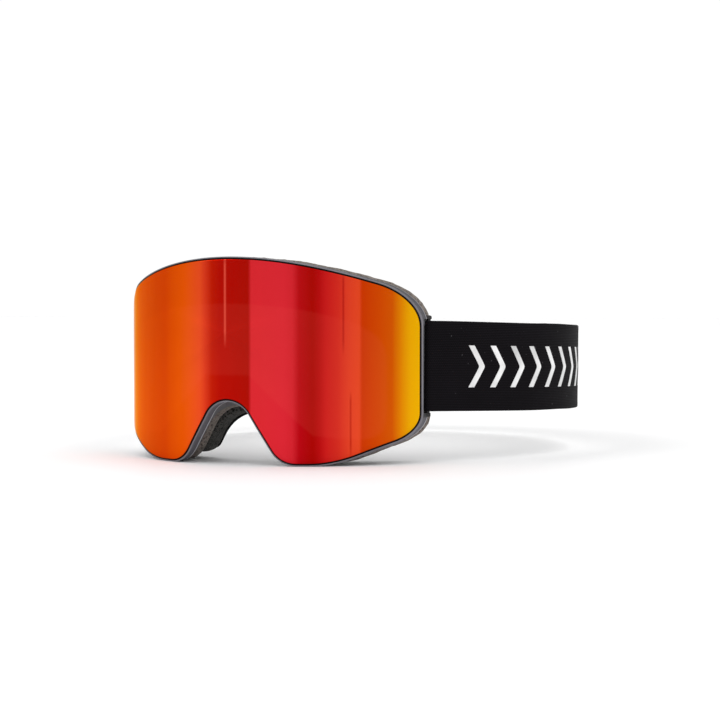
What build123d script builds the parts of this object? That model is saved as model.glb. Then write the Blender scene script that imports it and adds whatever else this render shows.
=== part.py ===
"""Ski goggles with a one-piece cylindrical lens, a magnetic lens carrier and an elastic head strap.

The goggles stand on the two cheek lobes of the frame and foam. +Z is up, the lens faces -Y, and the strap
loops round the head towards +Y. The origin is under the middle of the whole object, on the standing surface.

Three planes carry every sketch:
  FRONT  looks at the lens from in front, for the outlines that run round the lens's edge
  PLAN   looks down, with its origin at the foremost point of the lens, for everything that follows its curve
  LOOP   looks down the axis of the strap's round loop, which droops slightly towards the back
"""

import os
from math import asin, atan2, cos, degrees, hypot, radians, sin, sqrt, tan

from build123d import *

os.makedirs("parts", exist_ok=True)

# ---- lens outline, in the front view, measured from the middle of the lens front (mm) ----
LENS_R = 94.0  # radius of the cylindrical lens
HALF_WIDTH = 81.8  # middle to the lens's side edge
CROWN_Z = 51.7  # top of the lens at the middle
CROWN_R = 190.0  # radius of the top edge
LOBE_Z = -47.4  # bottom of the cheek lobes
KNEE_X = 50.3  # where the lobe's flat bottom meets the slope up to the side
SLOPE_DEG = 24.6  # rise of that slope
NOSE_PEAK_Z = -3.6  # where the two nose flanks would meet
NOSE_HALF_DEG = 32.0  # each nose flank from the vertical
BROW_R = 22.0
HEEL_R = 14.0
KNEE_R = 49.0
TOE_R = 13.0
NOSE_R = 14.5
BASE_NOSE_R = 19.6  # the nose arch gets lower and rounder towards the face
FACE_NOSE_R = 23.6
LINING_NOSE_R = 24.7
SMALLEST_R = 3.0
SIDE_SHARE = 0.7  # the side slopes back, so growing it this share of the rest looks even round the lens

# ---- how far each edge stands outside the lens outline ----
CARRIER_LIP_GROW = 0.6
FRAME_LIP_IN = 0.8
FRAME_LIP_OUT = 1.3
FLANK_GROW = 1.2
FOAM_GROW = -1.0
FACE_FOAM_GROW = -5.5
LINING_GROW = -6.5
NOSE_GROW = -1.0  # the flange and foams keep this margin at the nose
CARRIER_IN = -8.5
RING_IN = -8.0
FLANGE_IN = -14.0
BASE_FOAM_IN = -14.5
FACE_FOAM_IN = -15.5
LINING_IN = -15.0
INNER_LENS_GROW = -9.0
SPACER_IN = -13.0
VENT_FOAM_IN = -9.2

# ---- depths behind the lens's front surface ----
LENS_T = 1.4
SPACER_T = 2.4
INNER_LENS_T = 0.8
CARRIER_LIP_FRONT = 0.5
CARRIER_BACK = 7.0
FRAME_LIP_FRONT = 0.8
FRAME_LIP_BACK = 4.6
RING_FRONT = 7.2
FLANGE_FRONT = 11.4
FRAME_BACK = 13.0
BASE_FOAM_BACK = 21.5
FACE_FOAM_BACK = 35.5
LINING_BACK = 37.0
FACE_R = 98.5  # from the frame's back on, the layers follow this flatter curve
TEMPLE_CUT = [(85.0, 60.5), (76.0, 74.0), (76.0, 110.0), (120.0, 110.0), (120.0, 60.5)]
VENT_FOAM_FRONT = 7.6
VENT_FOAM_BACK = 10.6

# ---- magnets and vents ----
MAGNET_R = 2.5
MAGNET_T = 1.8
MAGNET_INSET = 3.5  # magnets sit this far inside the lens outline
TOP_MAGNET_X = (-55.0, -19.0, 19.0, 55.0)
BOTTOM_MAGNET_X = (-64.0, -38.0, 38.0, 64.0)
VENT_LENGTH = 14.0
VENT_GAP = 2.4
TOP_VENT_DEG = (-28.0, -14.0, 0.0, 14.0, 28.0)
BOTTOM_VENT_DEG = (-35.5, -24.0, 24.0, 35.5)
VENT_SPAN = 20.0

# ---- strap, measured in the loop plane ----
STRAP_H = 45.0
STRAP_T = 1.4
LOOP_Y = 148.0  # loop centre behind the lens front
LOOP_Z = -3.3  # loop centre above the middle of the lens
DROOP_DEG = 1.5
PIN_X = 82.0
PIN_Y = 58.2
PIN_R = 1.2
PIN_LENGTH = 54.0
WRAP_GAP = 0.15
LAYER_GAP = 0.3
RELIEF_R = 3.3
RELIEF_LENGTH = 30.0
NOTCH_H = 46.6
LUG_R = 2.2
LUG_H = 4.4
LUG_REACH = 5.0
LUG_TURN_DEG = 60.0
WINDOW_Y = 52.2  # the rim is cut away behind this, to let the strap start close to the lens
WINDOW_SIZE = 20.0

# ---- strap adjusters, by their angle round the loop from the +X side ----
ADJUSTER_DEG = 55.0
ADJUSTER_HALF_DEG = 5.8
END_BAR_DEG = 1.8
BAR_T = 1.8
CENTRE_BAR_W = 4.0
RAIL_H = 2.4
SIDE_GAP = 0.3
FLAP_DEG = 8.0
GRIP_HALF_DEG = 11.0
GRIP_T = 0.5
GRIP_H = 2.5
GRIP_Z = (-13.0, 0.0, 13.0)
PRINT_T = 0.3
CHEVRON_DEG = [-37.0 + 6.4 * n for n in range(9)]
CHEVRON_H = 21.0
CHEVRON_W = 3.6
CHEVRON_POINT = 7.0

# ---- worked out from the sizes above ----
STRAP_DISTANCE = hypot(PIN_X, LOOP_Y - PIN_Y)  # loop centre to pin
WRAP_R = PIN_R + WRAP_GAP
STRAP_IN_R = STRAP_DISTANCE + WRAP_R
STRAP_OUT_R = STRAP_IN_R + STRAP_T
TAIL_OUT_R = STRAP_IN_R - LAYER_GAP
TAIL_IN_R = TAIL_OUT_R - STRAP_T
PIN_DEG = degrees(atan2(PIN_Y - LOOP_Y, PIN_X))
CENTRE_BAR_R = TAIL_IN_R - BAR_T / 2 - 0.1
END_BAR_IN_R = STRAP_OUT_R + LAYER_GAP
END_BAR_OUT_R = END_BAR_IN_R + BAR_T
REACH = 300.0  # longer than any part, for cuts and extrusions trimmed later
EYE_Z = FRAME_LIP_OUT - LOBE_Z
REAR_Y = LOOP_Y + STRAP_OUT_R * cos(radians(DROOP_DEG)) + STRAP_H / 2 * sin(radians(DROOP_DEG))
APEX_Y = -REAR_Y / 2  # puts the origin halfway between the lens front and the strap's rear

FRONT = Plane(origin=(0, APEX_Y, EYE_Z), x_dir=(1, 0, 0), z_dir=(0, -1, 0))
PLAN = Plane(origin=(0, APEX_Y, EYE_Z), x_dir=(1, 0, 0), z_dir=(0, 0, 1))
LOOP = Plane(
    origin=(0, APEX_Y + LOOP_Y, EYE_Z + LOOP_Z),
    x_dir=(1, 0, 0),
    z_dir=(0, sin(radians(DROOP_DEG)), cos(radians(DROOP_DEG))),
)
SIDES = {"left": 1, "right": -1}  # the wearer's left is +X


# ---- shared shapes ----


def lens_outline(grow, nose_r=NOSE_R, nose_grow=None):
    """Sketch of the lens's front-view outline, grown by a margin, which may differ at the nose."""
    nose_grow = grow if nose_grow is None else nose_grow
    side = HALF_WIDTH + grow * SIDE_SHARE
    low = LOBE_Z - grow
    crown_r = CROWN_R + grow
    brow = (side, CROWN_Z - CROWN_R + sqrt(crown_r**2 - side**2))
    knee = (KNEE_X + grow * tan(radians(SLOPE_DEG / 2)), low)
    heel = (side, low + (side - knee[0]) * tan(radians(SLOPE_DEG)))
    peak = (0, NOSE_PEAK_Z - nose_grow / sin(radians(NOSE_HALF_DEG)))
    toe = ((peak[1] - low) * tan(radians(NOSE_HALF_DEG)), low)
    right = [brow, heel, knee, toe]
    left = [(-x, z) for x, z in reversed(right)]
    radii = [BROW_R, HEEL_R, KNEE_R, TOE_R]
    corners = {point: max(r + grow, SMALLEST_R) for point, r in zip(right, radii)}
    corners |= {(-x, z): r for (x, z), r in corners.items()}
    corners[peak] = nose_r - nose_grow
    with BuildSketch(mode=Mode.PRIVATE) as shape:
        with BuildLine():
            ThreePointArc(left[-1], (0, CROWN_Z + grow), brow)
            Polyline(*right, peak, *left)
        make_face()
        for point, radius in corners.items():
            nearest = shape.vertices().sort_by_distance(Vector(*point))[0]
            fillet(nearest, radius)
    return shape.sketch


def edge_band(outer, inner, nose_r=NOSE_R, nose_grow=None):
    """Sketch in FRONT of a band that runs round the lens's edge."""
    with BuildSketch(FRONT) as band:
        add(lens_outline(outer, nose_r, nose_grow))
        add(lens_outline(inner, nose_r), mode=Mode.SUBTRACT)
    return band.sketch


def layer(front, back):
    """Sketch in PLAN of a layer between two depths; the frame's back and the foams follow FACE_R."""
    front_r, back_r = (LENS_R if depth < FRAME_BACK else FACE_R for depth in (front, back))
    with BuildSketch(PLAN) as crescent:
        with Locations((0, front_r + front)):
            Circle(front_r)
        with Locations((0, back_r + back)):
            Circle(back_r, mode=Mode.SUBTRACT)
    return crescent.sketch


def lens_shell(front, back):
    """Sketch in PLAN of a shell of even thickness, concentric with the lens."""
    with BuildSketch(PLAN) as ring:
        with Locations((0, LENS_R)):
            Circle(LENS_R - front)
            Circle(LENS_R - back, mode=Mode.SUBTRACT)
    return ring.sketch


def band_layer(outer, inner, front, back, nose_r=NOSE_R, nose_grow=None):
    """Solid of an edge band between two depths behind the lens's front surface."""
    with BuildPart(mode=Mode.PRIVATE) as solid:
        extrude(edge_band(outer, inner, nose_r, nose_grow), amount=REACH, both=True)
        extrude(layer(front, back), amount=REACH, both=True, mode=Mode.INTERSECT)
    return solid.part


def magnet_planes(depth):
    """Planes at the magnets, on the surface at a depth behind the lens front, facing out of it."""
    grow = -MAGNET_INSET
    knee_x = KNEE_X + grow * tan(radians(SLOPE_DEG / 2))
    spots = [(x, CROWN_Z - CROWN_R + sqrt((CROWN_R + grow) ** 2 - x**2)) for x in TOP_MAGNET_X]
    for x in BOTTOM_MAGNET_X:
        rise = max(abs(x) - knee_x, 0) * tan(radians(SLOPE_DEG))
        spots.append((x, LOBE_Z - grow + rise))
    planes = []
    for x, z in spots:
        turn = asin(x / LENS_R)
        y = LENS_R * (1 - cos(turn)) + depth
        planes.append(
            Plane(
                origin=(x, APEX_Y + y, EYE_Z + z),
                x_dir=(0, 0, 1),
                z_dir=(sin(turn), -cos(turn), 0),
            )
        )
    return planes


def magnet_discs(depth, amount):
    """Discs at the magnet places, extruded out of a surface (positive) or into it (negative)."""
    with BuildPart(mode=Mode.PRIVATE) as discs:
        for plane in magnet_planes(depth):
            with BuildSketch(plane):
                Circle(MAGNET_R)
            extrude(amount=amount)
    return discs.part


def loop_sector(inner_r, outer_r, start_deg, end_deg):
    """Sketch of a band round the strap's loop between two angles, in the loop's own coordinates."""

    def at(radius, angle):
        return (radius * cos(radians(angle)), radius * sin(radians(angle)))

    middle = (start_deg + end_deg) / 2
    with BuildSketch(mode=Mode.PRIVATE) as sector:
        with BuildLine():
            ThreePointArc(at(outer_r, start_deg), at(outer_r, middle), at(outer_r, end_deg))
            Line(at(outer_r, end_deg), at(inner_r, end_deg))
            ThreePointArc(at(inner_r, end_deg), at(inner_r, middle), at(inner_r, start_deg))
            Line(at(inner_r, start_deg), at(outer_r, start_deg))
        make_face()
    return sector.sketch


def sided(side, start_deg, end_deg):
    """The same angles on the left (+X) side or mirrored to the right."""
    if side > 0:
        return start_deg, end_deg
    return 180 - end_deg, 180 - start_deg


def strap_lug(side, end):
    """The lug that holds one end of a strap pin, reaching forwards and inwards into the frame."""
    pin = (side * PIN_X, PIN_Y - LOOP_Y)
    with BuildPart(mode=Mode.PRIVATE) as lug:
        with BuildSketch(LOOP.offset(end * NOTCH_H / 2)):
            with Locations(pin):
                Circle(LUG_R)
                Rectangle(
                    LUG_REACH,
                    2 * LUG_R,
                    rotation=90 - side * (90 - LUG_TURN_DEG) + 180,
                    align=(Align.MIN, Align.CENTER),
                )
        extrude(amount=end * LUG_H)
        extrude(layer(RING_FRONT, LINING_BACK), amount=REACH, both=True, mode=Mode.INTERSECT)
    return lug.part


def strap_window():
    """Room behind the lens's side edges for the front of the strap."""
    with BuildPart(mode=Mode.PRIVATE) as room:
        with BuildSketch(LOOP):
            with Locations(*[(side * HALF_WIDTH, WINDOW_Y - LOOP_Y) for side in SIDES.values()]):
                Rectangle(WINDOW_SIZE, WINDOW_SIZE, align=(Align.CENTER, Align.MIN))
        extrude(amount=NOTCH_H / 2, both=True)
    return room.part


def temple_cut():
    """What is cut off the foams at the temples, so that they narrow towards the face."""
    with BuildPart(mode=Mode.PRIVATE) as wedges:
        with BuildSketch(PLAN):
            for side in SIDES.values():
                Polygon(*[(side * x, y) for x, y in TEMPLE_CUT], align=None)
        extrude(amount=REACH, both=True)
    return wedges.part


def strap_relief(side, height):
    """Room to clear from the frame or foam round the pin and along the strap as it leaves it."""
    heading = PIN_DEG + 90
    along = RELIEF_LENGTH / 2
    centre = (
        side * (PIN_X + along * cos(radians(heading))),
        PIN_Y - LOOP_Y + along * sin(radians(heading)),
    )
    with BuildPart(mode=Mode.PRIVATE) as room:
        with BuildSketch(LOOP):
            with Locations((side * PIN_X, PIN_Y - LOOP_Y)):
                Circle(RELIEF_R)
            with Locations(centre):
                Rectangle(RELIEF_LENGTH, 2 * RELIEF_R, rotation=side * heading)
        extrude(amount=height / 2, both=True)
    return room.part


def save(builder, label):
    """Labels a finished piece and writes its STEP file."""
    builder.part.label = label
    export_step(builder.part, f"parts/{label}.step")


# ---- lens module: pulls straight off the frame's magnets ----

with BuildPart() as outer_lens:
    with BuildSketch(FRONT):
        add(lens_outline(0))
    extrude(amount=-LENS_R)
    extrude(lens_shell(0, LENS_T), amount=REACH, both=True, mode=Mode.INTERSECT)
save(outer_lens, "outer_lens")

with BuildPart() as lens_spacer:
    extrude(edge_band(INNER_LENS_GROW, SPACER_IN), amount=-LENS_R)
    extrude(lens_shell(LENS_T, LENS_T + SPACER_T), amount=REACH, both=True, mode=Mode.INTERSECT)
save(lens_spacer, "lens_spacer")

with BuildPart() as inner_lens:
    with BuildSketch(FRONT):
        add(lens_outline(INNER_LENS_GROW))
    extrude(amount=-LENS_R)
    glass = lens_shell(LENS_T + SPACER_T, LENS_T + SPACER_T + INNER_LENS_T)
    extrude(glass, amount=REACH, both=True, mode=Mode.INTERSECT)
save(inner_lens, "inner_lens")

with BuildPart() as lens_carrier:
    extrude(edge_band(CARRIER_LIP_GROW, CARRIER_IN), amount=-LENS_R)
    with BuildSketch(PLAN):
        with Locations((0, LENS_R)):
            Circle(LENS_R - LENS_T)
        with Locations((0, LENS_R + CARRIER_BACK)):
            Circle(LENS_R, mode=Mode.SUBTRACT)
    extrude(amount=REACH, both=True, mode=Mode.INTERSECT)
    add(band_layer(CARRIER_LIP_GROW, 0.1, CARRIER_LIP_FRONT, CARRIER_BACK))
    add(strap_window(), mode=Mode.SUBTRACT)
    add(magnet_discs(CARRIER_BACK, MAGNET_T), mode=Mode.SUBTRACT)
save(lens_carrier, "lens_carrier")

with BuildPart() as lens_magnets:
    add(magnet_discs(CARRIER_BACK, MAGNET_T))
    extrude(layer(0, CARRIER_BACK), amount=REACH, both=True, mode=Mode.INTERSECT)
save(lens_magnets, "lens_magnets")

# ---- frame ----

with BuildPart() as face_frame:
    add(band_layer(FLANK_GROW, RING_IN, RING_FRONT, FRAME_BACK))
    add(band_layer(FRAME_LIP_OUT, FRAME_LIP_IN, FRAME_LIP_FRONT, FRAME_LIP_BACK))
    add(band_layer(FLANK_GROW, FRAME_LIP_IN, FRAME_LIP_FRONT + 1, RING_FRONT + 1))
    add(band_layer(FLANK_GROW, FLANGE_IN, FLANGE_FRONT, FRAME_BACK, BASE_NOSE_R, NOSE_GROW))
    add(strap_window(), mode=Mode.SUBTRACT)
    for side in SIDES.values():
        add(strap_relief(side, NOTCH_H), mode=Mode.SUBTRACT)
        add(strap_lug(side, 1))
        add(strap_lug(side, -1))
        with BuildSketch(LOOP):
            with Locations((side * PIN_X, PIN_Y - LOOP_Y)):
                Circle(PIN_R)
        extrude(amount=PIN_LENGTH / 2, both=True, mode=Mode.SUBTRACT)
    vent_depth = (RING_FRONT + FLANGE_FRONT) / 2 + 0.2
    for angles, base in ((TOP_VENT_DEG, CROWN_Z - VENT_SPAN), (BOTTOM_VENT_DEG, LOBE_Z - 5)):
        spots = [
            Location(
                (
                    LENS_R * sin(radians(a)),
                    LENS_R * (1 - cos(radians(a))) + vent_depth,
                ),
                a,
            )
            for a in angles
        ]
        with BuildSketch(PLAN.offset(base)):
            with Locations(*spots):
                SlotOverall(VENT_LENGTH, VENT_GAP)
        extrude(amount=VENT_SPAN + 5, mode=Mode.SUBTRACT)
    add(magnet_discs(RING_FRONT, -MAGNET_T), mode=Mode.SUBTRACT)
save(face_frame, "face_frame")

with BuildPart() as frame_magnets:
    add(magnet_discs(RING_FRONT, -MAGNET_T))
    extrude(layer(RING_FRONT, FRAME_BACK), amount=REACH, both=True, mode=Mode.INTERSECT)
save(frame_magnets, "frame_magnets")


def vent_strip(x_middle, x_width, z_middle, z_height):
    """Thin open-cell foam strip inside the frame's ring, over a group of vents."""
    with BuildPart() as strip:
        add(band_layer(RING_IN, VENT_FOAM_IN, VENT_FOAM_FRONT, VENT_FOAM_BACK))
        with BuildSketch(FRONT):
            with Locations((x_middle, z_middle)):
                Rectangle(x_width, z_height)
        extrude(amount=REACH, both=True, mode=Mode.INTERSECT)
    return strip


save(vent_strip(0, 116, CROWN_Z, 60), "top_vent_foam")
for name, side in SIDES.items():
    save(vent_strip(side * 47, 34, LOBE_Z, 40), f"bottom_vent_foam_{name}")

# ---- face foam, three layers ----

with BuildPart() as base_foam:
    add(band_layer(FOAM_GROW, BASE_FOAM_IN, FRAME_BACK, BASE_FOAM_BACK, BASE_NOSE_R, NOSE_GROW))
    add(temple_cut(), mode=Mode.SUBTRACT)
    for side in SIDES.values():
        add(strap_relief(side, NOTCH_H), mode=Mode.SUBTRACT)
        add(strap_lug(side, 1), mode=Mode.SUBTRACT)
        add(strap_lug(side, -1), mode=Mode.SUBTRACT)
save(base_foam, "base_foam")

with BuildPart() as face_foam:
    depths = (BASE_FOAM_BACK, FACE_FOAM_BACK)
    add(band_layer(FACE_FOAM_GROW, FACE_FOAM_IN, *depths, FACE_NOSE_R, NOSE_GROW))
    add(temple_cut(), mode=Mode.SUBTRACT)
save(face_foam, "face_foam")

with BuildPart() as fleece_lining:
    add(band_layer(LINING_GROW, LINING_IN, FACE_FOAM_BACK, LINING_BACK, LINING_NOSE_R, NOSE_GROW))
    add(temple_cut(), mode=Mode.SUBTRACT)
save(fleece_lining, "fleece_lining")

# ---- strap and its pins ----

for name, side in SIDES.items():
    with BuildPart() as anchor_pin:
        with BuildSketch(LOOP):
            with Locations((side * PIN_X, PIN_Y - LOOP_Y)):
                Circle(PIN_R)
        extrude(amount=PIN_LENGTH / 2, both=True)
    save(anchor_pin, f"anchor_pin_{name}")

with BuildPart() as strap:
    with BuildSketch(LOOP):
        add(loop_sector(STRAP_IN_R, STRAP_OUT_R, PIN_DEG, 180 - PIN_DEG))
        with Locations(*[(side * PIN_X, PIN_Y - LOOP_Y) for side in SIDES.values()]):
            Circle(WRAP_R + STRAP_T)
        with Locations(*[(side * PIN_X, PIN_Y - LOOP_Y) for side in SIDES.values()]):
            Circle(WRAP_R, mode=Mode.SUBTRACT)
    extrude(amount=STRAP_H / 2, both=True)
save(strap, "strap")

TAIL_END_DEG = ADJUSTER_DEG - FLAP_DEG

for name, side in SIDES.items():
    with BuildPart() as strap_tail:
        with BuildSketch(LOOP):
            add(loop_sector(TAIL_IN_R, TAIL_OUT_R, *sided(side, PIN_DEG + 0.8, TAIL_END_DEG)))
            with Locations((side * PIN_X, PIN_Y - LOOP_Y)):
                Circle(WRAP_R + STRAP_T, mode=Mode.SUBTRACT)
        extrude(amount=STRAP_H / 2, both=True)
    save(strap_tail, f"strap_tail_{name}")

with BuildPart() as grip_strips:
    for height in GRIP_Z:
        with BuildSketch(LOOP.offset(height - GRIP_H / 2)):
            add(loop_sector(STRAP_IN_R - GRIP_T, STRAP_IN_R, 90 - GRIP_HALF_DEG, 90 + GRIP_HALF_DEG))
        extrude(amount=GRIP_H)
save(grip_strips, "grip_strips")

# ---- strap adjusters: three-bar slides that ride along the strap, each with the sewn end of a tail ----

for name, side in SIDES.items():
    with BuildPart() as adjuster:
        middle = ADJUSTER_DEG if side > 0 else 180 - ADJUSTER_DEG
        rail_foot = STRAP_H / 2 + SIDE_GAP
        for end in (1, -1):
            with BuildSketch(LOOP.offset(end * rail_foot)):
                add(
                    loop_sector(
                        CENTRE_BAR_R - BAR_T / 2,
                        END_BAR_OUT_R,
                        middle - ADJUSTER_HALF_DEG,
                        middle + ADJUSTER_HALF_DEG,
                    )
                )
            extrude(amount=end * RAIL_H)
        with BuildSketch(LOOP):
            for end in (1, -1):
                edge = middle + end * ADJUSTER_HALF_DEG
                near = middle + end * (ADJUSTER_HALF_DEG - END_BAR_DEG)
                add(loop_sector(END_BAR_IN_R, END_BAR_OUT_R, min(edge, near), max(edge, near)))
            with Locations(
                Location(
                    (
                        CENTRE_BAR_R * cos(radians(middle)),
                        CENTRE_BAR_R * sin(radians(middle)),
                    ),
                    middle + 90,
                )
            ):
                SlotOverall(CENTRE_BAR_W, BAR_T)
        extrude(amount=rail_foot + RAIL_H / 2, both=True)
    save(adjuster, f"adjuster_{name}")

    with BuildPart() as tail_loop:
        bar = Location(
            (CENTRE_BAR_R * cos(radians(middle)), CENTRE_BAR_R * sin(radians(middle))),
            middle + 90,
        )
        loop_gap = 0.1
        with BuildSketch(LOOP):
            add(loop_sector(TAIL_IN_R, TAIL_OUT_R, *sided(side, TAIL_END_DEG, ADJUSTER_DEG)))
            add(
                loop_sector(
                    TAIL_IN_R - STRAP_T,
                    TAIL_IN_R,
                    *sided(side, TAIL_END_DEG, ADJUSTER_DEG - 2),
                )
            )
            with Locations(bar):
                SlotOverall(
                    CENTRE_BAR_W + 2 * (loop_gap + STRAP_T),
                    BAR_T + 2 * (loop_gap + STRAP_T),
                )
                SlotOverall(
                    CENTRE_BAR_W + 2 * loop_gap,
                    BAR_T + 2 * loop_gap,
                    mode=Mode.SUBTRACT,
                )
        extrude(amount=STRAP_H / 2 - 0.5, both=True)
    save(tail_loop, f"tail_loop_{name}")

# ---- raised chevron print on the strap's outside, both sides ----


def strap_face(angle, side):
    """Plane on the strap's inner face at an angle round the loop, facing outwards, x running rearwards."""
    turn = radians(angle if side > 0 else 180 - angle)
    outward = LOOP.x_dir * cos(turn) + LOOP.y_dir * sin(turn)
    rearward = (LOOP.y_dir * cos(turn) - LOOP.x_dir * sin(turn)) * side
    return Plane(origin=LOOP.origin + outward * STRAP_IN_R, x_dir=rearward, z_dir=outward)


CHEVRON = [
    (0, CHEVRON_H / 2),
    (CHEVRON_W, CHEVRON_H / 2),
    (CHEVRON_W + CHEVRON_POINT, 0),
    (CHEVRON_W, -CHEVRON_H / 2),
    (0, -CHEVRON_H / 2),
    (CHEVRON_POINT, 0),
]

for name, side in SIDES.items():
    with BuildPart() as strap_print:
        for angle in CHEVRON_DEG:
            with BuildSketch(strap_face(angle, side)):
                Polygon(*CHEVRON, align=None)
            extrude(amount=5)
        with BuildSketch(LOOP):
            Circle(STRAP_OUT_R + PRINT_T)
            Circle(STRAP_OUT_R, mode=Mode.SUBTRACT)
        extrude(amount=STRAP_H / 2, both=True, mode=Mode.INTERSECT)
    save(strap_print, f"strap_print_{name}")
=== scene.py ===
"""Ski goggles: the finished meshes, materials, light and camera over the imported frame.

The goggles stand on their cheek lobes with the lens facing -Y. Most surfaces are worked out in millimetres,
either round the lens's outline (LensOutline) or along the strap's loop (StrapLoop), and turned into metres
in the row frame when they become meshes.
"""

import logging
import math
from dataclasses import dataclass, field
from enum import Enum
from typing import Callable, Iterable, Optional, Sequence

import bmesh
import bpy
import numpy as np
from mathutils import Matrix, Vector


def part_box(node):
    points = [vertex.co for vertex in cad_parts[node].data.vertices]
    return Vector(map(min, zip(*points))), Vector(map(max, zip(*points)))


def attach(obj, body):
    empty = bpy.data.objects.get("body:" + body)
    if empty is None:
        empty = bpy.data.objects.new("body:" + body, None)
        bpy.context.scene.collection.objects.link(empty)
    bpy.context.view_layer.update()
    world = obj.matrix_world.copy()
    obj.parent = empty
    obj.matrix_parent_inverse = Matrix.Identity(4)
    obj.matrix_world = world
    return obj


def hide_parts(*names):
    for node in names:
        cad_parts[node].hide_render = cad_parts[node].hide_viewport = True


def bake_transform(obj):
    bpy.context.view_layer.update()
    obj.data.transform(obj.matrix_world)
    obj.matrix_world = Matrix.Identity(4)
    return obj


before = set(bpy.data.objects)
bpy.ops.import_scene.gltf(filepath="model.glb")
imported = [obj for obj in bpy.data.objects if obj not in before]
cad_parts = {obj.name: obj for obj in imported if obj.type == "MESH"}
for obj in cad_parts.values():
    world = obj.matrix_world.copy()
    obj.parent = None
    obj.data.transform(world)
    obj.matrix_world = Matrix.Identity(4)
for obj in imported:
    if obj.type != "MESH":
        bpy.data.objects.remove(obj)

Array = np.ndarray
Socket = bpy.types.NodeSocket
Colour = tuple[float, float, float]
MM = 0.001
MERGE = 1e-7  # points nearer to each other than this are one point, in metres
SHARP_DEG = 40.0  # edges that turn more than this stay sharp
LOG = logging.getLogger("goggles")
SIDES = {"left": 1, "right": -1}  # the wearer's left is +X


class Body(str, Enum):
    """The bodies that pieces ride on."""

    FRAME = "goggle_frame"
    LENS = "lens_module"
    LEFT = "left_slider"
    RIGHT = "right_slider"


SLIDER = {"left": Body.LEFT, "right": Body.RIGHT}


# ---------------------------------------------------------------------------------------------------------
# Surfaces
# ---------------------------------------------------------------------------------------------------------


def unit(vectors: Array) -> Array:
    """Vectors scaled to length one.

    Args:
        vectors: any array whose last axis holds the components.

    Returns:
        The same array, each vector divided by its length.
    """
    return vectors / np.maximum(np.linalg.norm(vectors, axis=-1, keepdims=True), 1e-12)


def compass(angle: Array) -> Array:
    """Directions (cos a, sin a), on a new last axis."""
    return np.stack([np.cos(angle), np.sin(angle)], -1)


def full_turn(count: int) -> Array:
    """Evenly spaced angles once round a circle, the last short of the first."""
    return np.linspace(0, 2 * math.pi, count, endpoint=False)


def arc(centre: Array, radius: Array, start: Array, turn: Array, count: int) -> Array:
    """Points on circular arcs: centre + radius * (cos a, sin a), with a from start to start + turn.

    Args:
        centre: (M, 2) centres.
        radius: (M,) radii.
        start: (M,) first angles, in radians.
        turn: (M,) angles turned through.
        count: points on each arc.

    Returns:
        (M, count, 2) points.
    """
    angle = start[:, None] + turn[:, None] * np.linspace(0.0, 1.0, count)
    return centre[:, None] + radius[:, None, None] * compass(angle)


def between(first: Array, last: Array, count: int) -> Array:
    """Evenly spaced points strictly between two ends: first + t * (last - first).

    Args:
        first: (M, 2) starts.
        last: (M, 2) ends.
        count: points wanted.

    Returns:
        (M, count, 2) points.
    """
    t = np.linspace(0.0, 1.0, count + 2)[1:-1, None]
    return first[:, None] + t * (last - first)[:, None]


def sag(radius: Array, x: Array) -> Array:
    """How far a circle falls back at x from its foremost point: R - sqrt(R^2 - x^2)."""
    return radius - np.sqrt(np.maximum(radius**2 - x**2, 0.0))


def ease(share: Array) -> Array:
    """A smooth step from 0 to 1: s^2 * (3 - 2 s)."""
    return share * share * (3 - 2 * share)


def rounded_corner(before: Array, corner: Array, after: Array, radius: Array, count: int) -> Array:
    """A corner between two straight runs, rounded by a tangent arc.

    The arc's centre lies on the corner's bisector at radius / sin(half the corner's angle).

    Args:
        before: (M, 2) point before the corner.
        corner: (M, 2) corner.
        after: (M, 2) point after it.
        radius: (M,) radii.
        count: points on each arc.

    Returns:
        (M, count, 2) points.
    """
    u, v = unit(before - corner), unit(after - corner)
    half = np.arccos(np.clip((u * v).sum(-1), -1.0, 1.0)) / 2
    centre = corner + unit(u + v) * (radius / np.sin(half))[:, None]
    reach = (radius / np.tan(half))[:, None]
    a, b = corner + u * reach - centre, corner + v * reach - centre
    start, end = np.arctan2(a[:, 1], a[:, 0]), np.arctan2(b[:, 1], b[:, 0])
    turn = (end - start + math.pi) % (2 * math.pi) - math.pi
    return arc(centre, radius, start, turn, count)


def rounded_loop(corners: Sequence[Sequence[float]], radii: Sequence[float], count: int = 4) -> Array:
    """A closed profile with every corner rounded.

    Args:
        corners: (K, 2) corners in order.
        radii: one radius per corner.
        count: points on each corner's arc.

    Returns:
        (K * count, 2) points.
    """
    p = np.asarray(corners, float)
    r = np.asarray(radii, float)
    return rounded_corner(np.roll(p, 1, 0), p, np.roll(p, -1, 0), r, count).reshape(-1, 2)


def lengths(points: Array) -> Array:
    """Distance travelled along a row of points, starting at 0."""
    return np.concatenate([[0.0], np.linalg.norm(np.diff(points, axis=0), axis=-1).cumsum()])


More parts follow.
